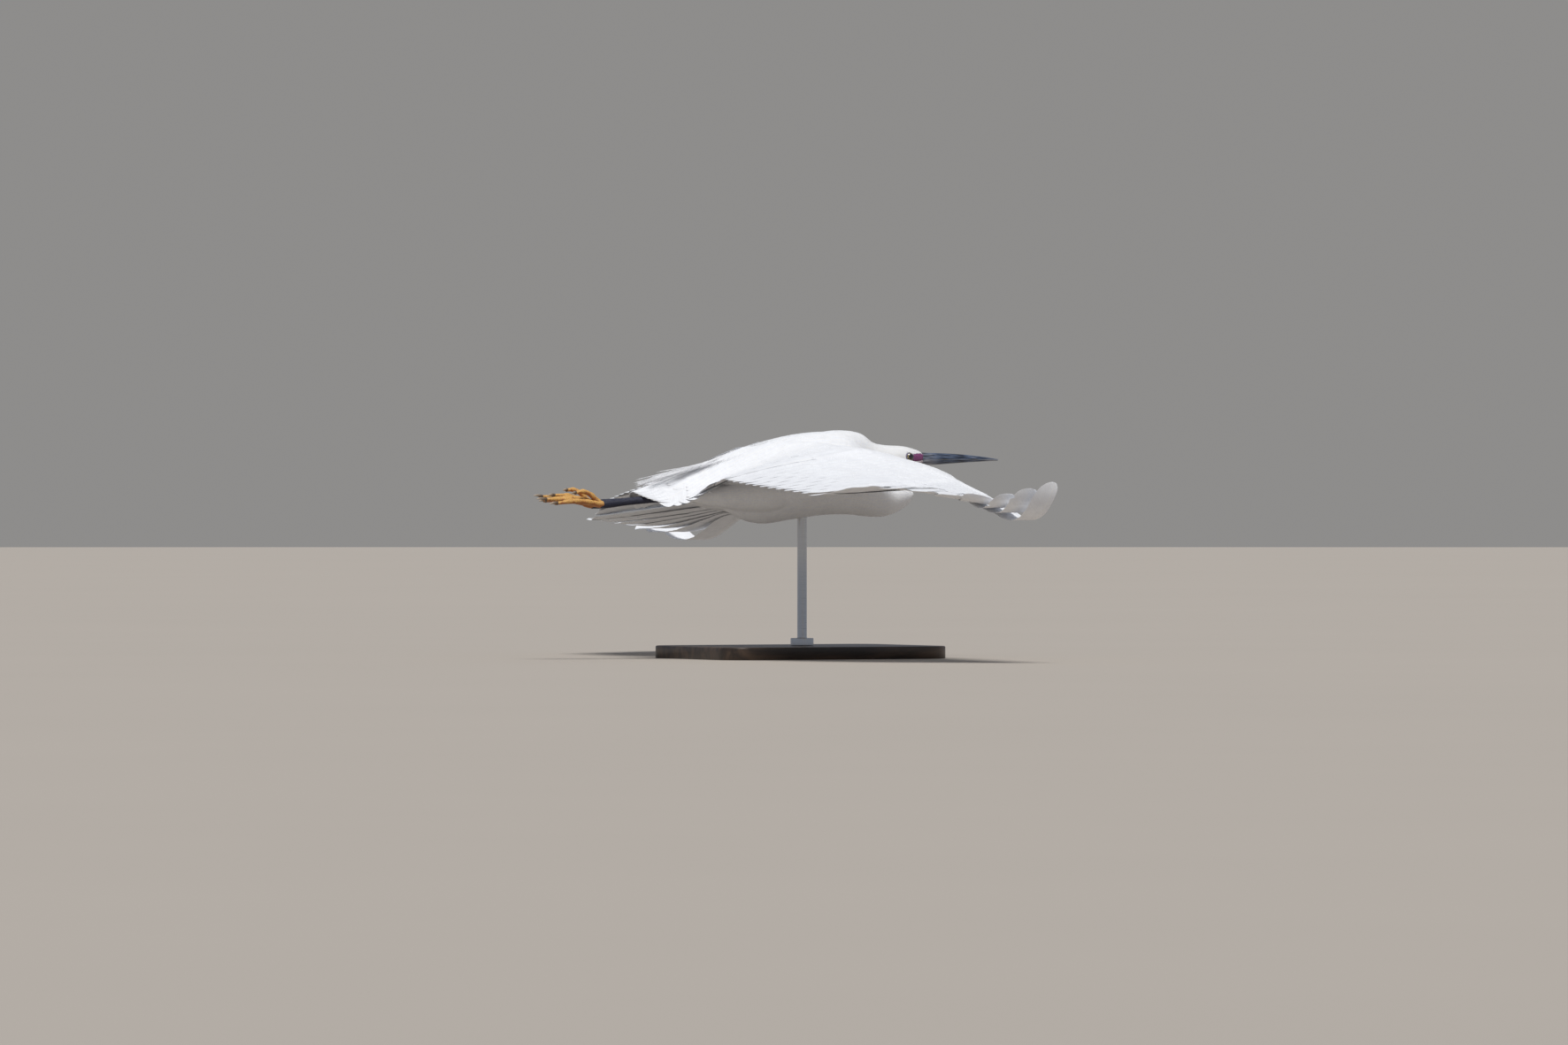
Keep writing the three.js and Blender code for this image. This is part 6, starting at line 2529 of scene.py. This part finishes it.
@dataclass(frozen=True)
class Stand:
    """Wooden base with softened edges, a steel rod and its collar."""

    middle: float = 35
    length: float = 240
    width: float = 180
    height: float = 12
    corner: float = 26
    corner_points: int = 14
    edge: float = 1.5
    board_crisp: float = 50
    rod_at: float = 37
    rod_radius: float = 4.5
    rod_top: float = 141.6
    rod_crisp: float = 35
    collar_radius: float = 11
    collar_height: float = 7
    collar_shoulder: float = 0.6

    def ring(self, inset: float, height: float) -> Array:
        """Rounded rectangle at a height, drawn in by an inset.

        Args:
            inset: How far it is drawn in.
            height: Its height.

        Returns:
            Points.
        """
        corner = self.corner - inset
        turn = np.linspace(0, math.pi / 2, self.corner_points)
        half = np.array([self.length / 2 - inset - corner, self.width / 2 - inset - corner])
        points = []
        for quarter, signs in enumerate(((1, 1), (-1, 1), (-1, -1), (1, -1))):
            angle = turn + quarter * math.pi / 2
            points.append(half * signs + corner * grid(np.cos(angle), np.sin(angle)))
        x, y = np.vstack(points).T
        return grid(x + self.middle, y, height)

    def base(self, finish: Material) -> None:
        """Makes the board.

        Args:
            finish: Its finish.
        """
        levels = [(0, self.edge * 0.4), (self.edge * 0.4, 0)]
        for a in np.linspace(0, math.pi / 2, 5):
            levels.append((self.height - self.edge * (1 - math.sin(a)), self.edge * (1 - math.cos(a))))
        levels += [(self.height, self.edge + 2.0), (self.height, self.edge + 14)]
        piece = Mesher()
        add_tube(piece, np.stack([self.ring(inset, z) for z, inset in levels]))
        made = piece.build("base_board", finish, on_bird=False, sharp=self.board_crisp)
        finish_piece(made, "base_wood", "stand_base")

    def rod(self, finish: Material) -> None:
        """Makes the rod with its collar in one turned piece.

        Args:
            finish: Its finish.
        """
        r, c, s = self.rod_radius, self.collar_radius, self.collar_shoulder
        low = self.height + 0.3
        top = low + self.collar_height
        profile = ((low, c - 0.3), (low + 0.3, c), (top - s, c), (top - s * 0.3, c - s * 0.3), (top, c - s),
                   (top, r + 0.9), (top + 0.25, r + 0.3), (top + 0.9, r), (self.rod_top - 40, r),
                   (self.rod_top, r))
        angle = turns(64)
        z, radius = np.array(profile).T[..., None]
        piece = Mesher()
        add_tube(piece, grid(self.rod_at + radius * np.cos(angle), radius * np.sin(angle), z))
        made = piece.build("rod_turned", finish, on_bird=False, sharp=self.rod_crisp)
        finish_piece(made, "rod_steel", "stand_rod")

    def build(self, finishes: Finishes) -> None:
        """Makes the whole stand."""
        self.base(finishes.wood)
        self.rod(finishes.steel)


# Studio


@dataclass(frozen=True)
class Viewpoint:
    """Camera at the photograph's angle: behind the bird's right side, at the level of its back."""

    yaw_deg: float = 27
    across: float = -75.74
    below: float = -60.0
    distance: float = 8000
    focal: float = 190.98
    sensor: float = 36
    clip: tuple = (0.1, 100)

    def build(self) -> None:
        """Makes the camera and takes it for the scene."""
        yaw = math.radians(self.yaw_deg)
        ahead = np.array([math.sin(yaw), math.cos(yaw), 0])
        right = np.array([math.cos(yaw), -math.sin(yaw), 0])
        place = np.array(PLACING.shift) + self.across * right + np.array([0, 0, self.below])
        data = bpy.data.cameras.new("viewpoint")
        data.lens = self.focal
        data.sensor_width = self.sensor
        data.clip_start, data.clip_end = self.clip
        camera = link("viewpoint", data)
        camera.location = Vector((place - self.distance * ahead) * MM)
        camera.rotation_euler = Vector(ahead).to_track_quat("-Z", "Y").to_euler()
        bpy.context.scene.camera = camera


@dataclass(frozen=True)
class Studio:
    """Pale floor, soft light from above, and an even grey behind."""

    floor_radius: float = 36
    floor_sides: int = 96
    floor_tone: tuple = (0.43, 0.39, 0.345)
    behind: tuple = rgb(0.27, 0.265, 0.26)
    fill: float = 0.31
    fill_colour: tuple = rgb(0.80, 0.86, 1.0)
    sun_power: float = 2.8
    sun_colour: tuple = (1.0, 0.985, 0.96)
    sun_from: tuple = (-0.16, -0.38, 0.91)
    sun_softness: float = 24

    def floor(self) -> None:
        """Makes the floor."""
        kit = FinishKit("floor_pale", 0.9, Specular_IOR_Level=0.1)
        low, high = (rgb(*(np.array(self.floor_tone) * shade)) for shade in (0.98, 1.02))
        finish = kit.done(kit.blend(kit.ramp(kit.mottle(0.6, 0.2), -0.2, 0.2), low, high))
        angle = turns(self.floor_sides)
        ring = grid(np.cos(angle), np.sin(angle), 0.0) * self.floor_radius
        mesh = bpy.data.meshes.new("floor")
        mesh.from_pydata(ring.tolist(), [], [list(range(self.floor_sides))])
        mesh.materials.append(finish)
        link("floor", mesh)

    def world(self) -> None:
        """Sets an even backdrop for the camera and a weaker fill for the piece."""
        world = bpy.data.worlds.new("studio")
        world.use_nodes = True
        bpy.context.scene.world = world
        kit = NodeKit(world.node_tree)
        backdrop = kit.tree.nodes["Background"]
        backdrop.inputs[0].default_value = self.behind
        light = kit.first("ShaderNodeBackground", {0: self.fill_colour, 1: self.fill})
        seen = kit.node("ShaderNodeLightPath").outputs["Is Camera Ray"]
        mixed = kit.first("ShaderNodeMixShader", {0: seen, 1: light, 2: backdrop.outputs[0]})
        kit.tree.links.new(mixed, kit.tree.nodes["World Output"].inputs[0])

    def sun(self) -> None:
        """Adds one broad soft light from above, on the camera's side."""
        data = bpy.data.lights.new("soft_sun", "SUN")
        data.energy = self.sun_power
        data.angle = math.radians(self.sun_softness)
        data.color = self.sun_colour
        lamp = link("soft_sun", data)
        lamp.rotation_euler = Vector(self.sun_from).to_track_quat("Z", "Y").to_euler()

    def build(self) -> None:
        """Sets the studio."""
        self.floor()
        self.world()
        self.sun()
        settings = bpy.context.scene.view_settings
        settings.view_transform = "Standard"
        settings.look = "None"


# Whole piece


COVERED = ("skin", "coat_back", "coverts_upper_left", "tertials_left", "tail_feathers")
LEFT_BACK = ((-262, 24), (-4, 100))
LEFT_BELLY = ((-262, 24), (-4, 60))
MID_BACK = ((-262, -40), (-40, 40))


def corners(box: tuple[Vector, Vector]) -> list[list[float]]:
    """Lowest and highest corner of a box, as plain numbers."""
    return [[round(float(c), 6) for c in corner] for corner in box]


def long_feathers(finishes: Finishes) -> None:
    """Drapes scapulars, tail coverts and plumes over what is built so far.

    Args:
        finishes: Every finish of the piece.
    """
    named = bpy.data.objects
    covered = [named[name] for name in COVERED]
    above = LooseFeathers(Drape(covered, Face.UPPER, LEFT_BACK), finishes.coat)
    for side in Side:
        above.lay("scapulars", SCAPULARS, side)
    roof = [named["skin"], named["tail_feathers"]]
    under = LooseFeathers(Drape(roof, Face.LOWER, LEFT_BELLY), finishes.coat)
    for side in Side:
        above.lay("tail_coverts_upper", TAIL_COVERTS, side)
        under.lay("tail_coverts_under", UNDER_TAIL, side)
    Plumes().build(Drape(covered, Face.UPPER, MID_BACK), finishes.plume)


def main() -> None:
    """Builds the bird, its stand and the studio in order."""
    logging.basicConfig(level=logging.INFO, format="%(name)s: %(message)s")
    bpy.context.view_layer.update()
    Viewpoint().build()
    Studio().build()
    finishes = Finishes()
    depths = Skin()
    skin = depths.form(finishes.skin)
    ground = SkinField(skin)
    eyes = Eyes()
    eyes.build(finishes, ground)
    Bill().build(finishes)
    wings = [Wing(Side.LEFT, LEFT_WING), Wing(Side.RIGHT, RIGHT_WING)]
    for wing in wings:
        wing.build(finishes)
    Tail().build(finishes)
    Coat(skin, ground, eyes, depths, finishes.coat).build()
    long_feathers(finishes)
    for leg in (Leg(Side.LEFT, 4, 0.9), Leg(Side.RIGHT, 0, 1)):
        leg.build(finishes)
    depths.take_in(skin, wings, finishes.skin)
    Stand().build(finishes)
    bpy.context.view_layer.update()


if __name__ == "__main__":
    main()
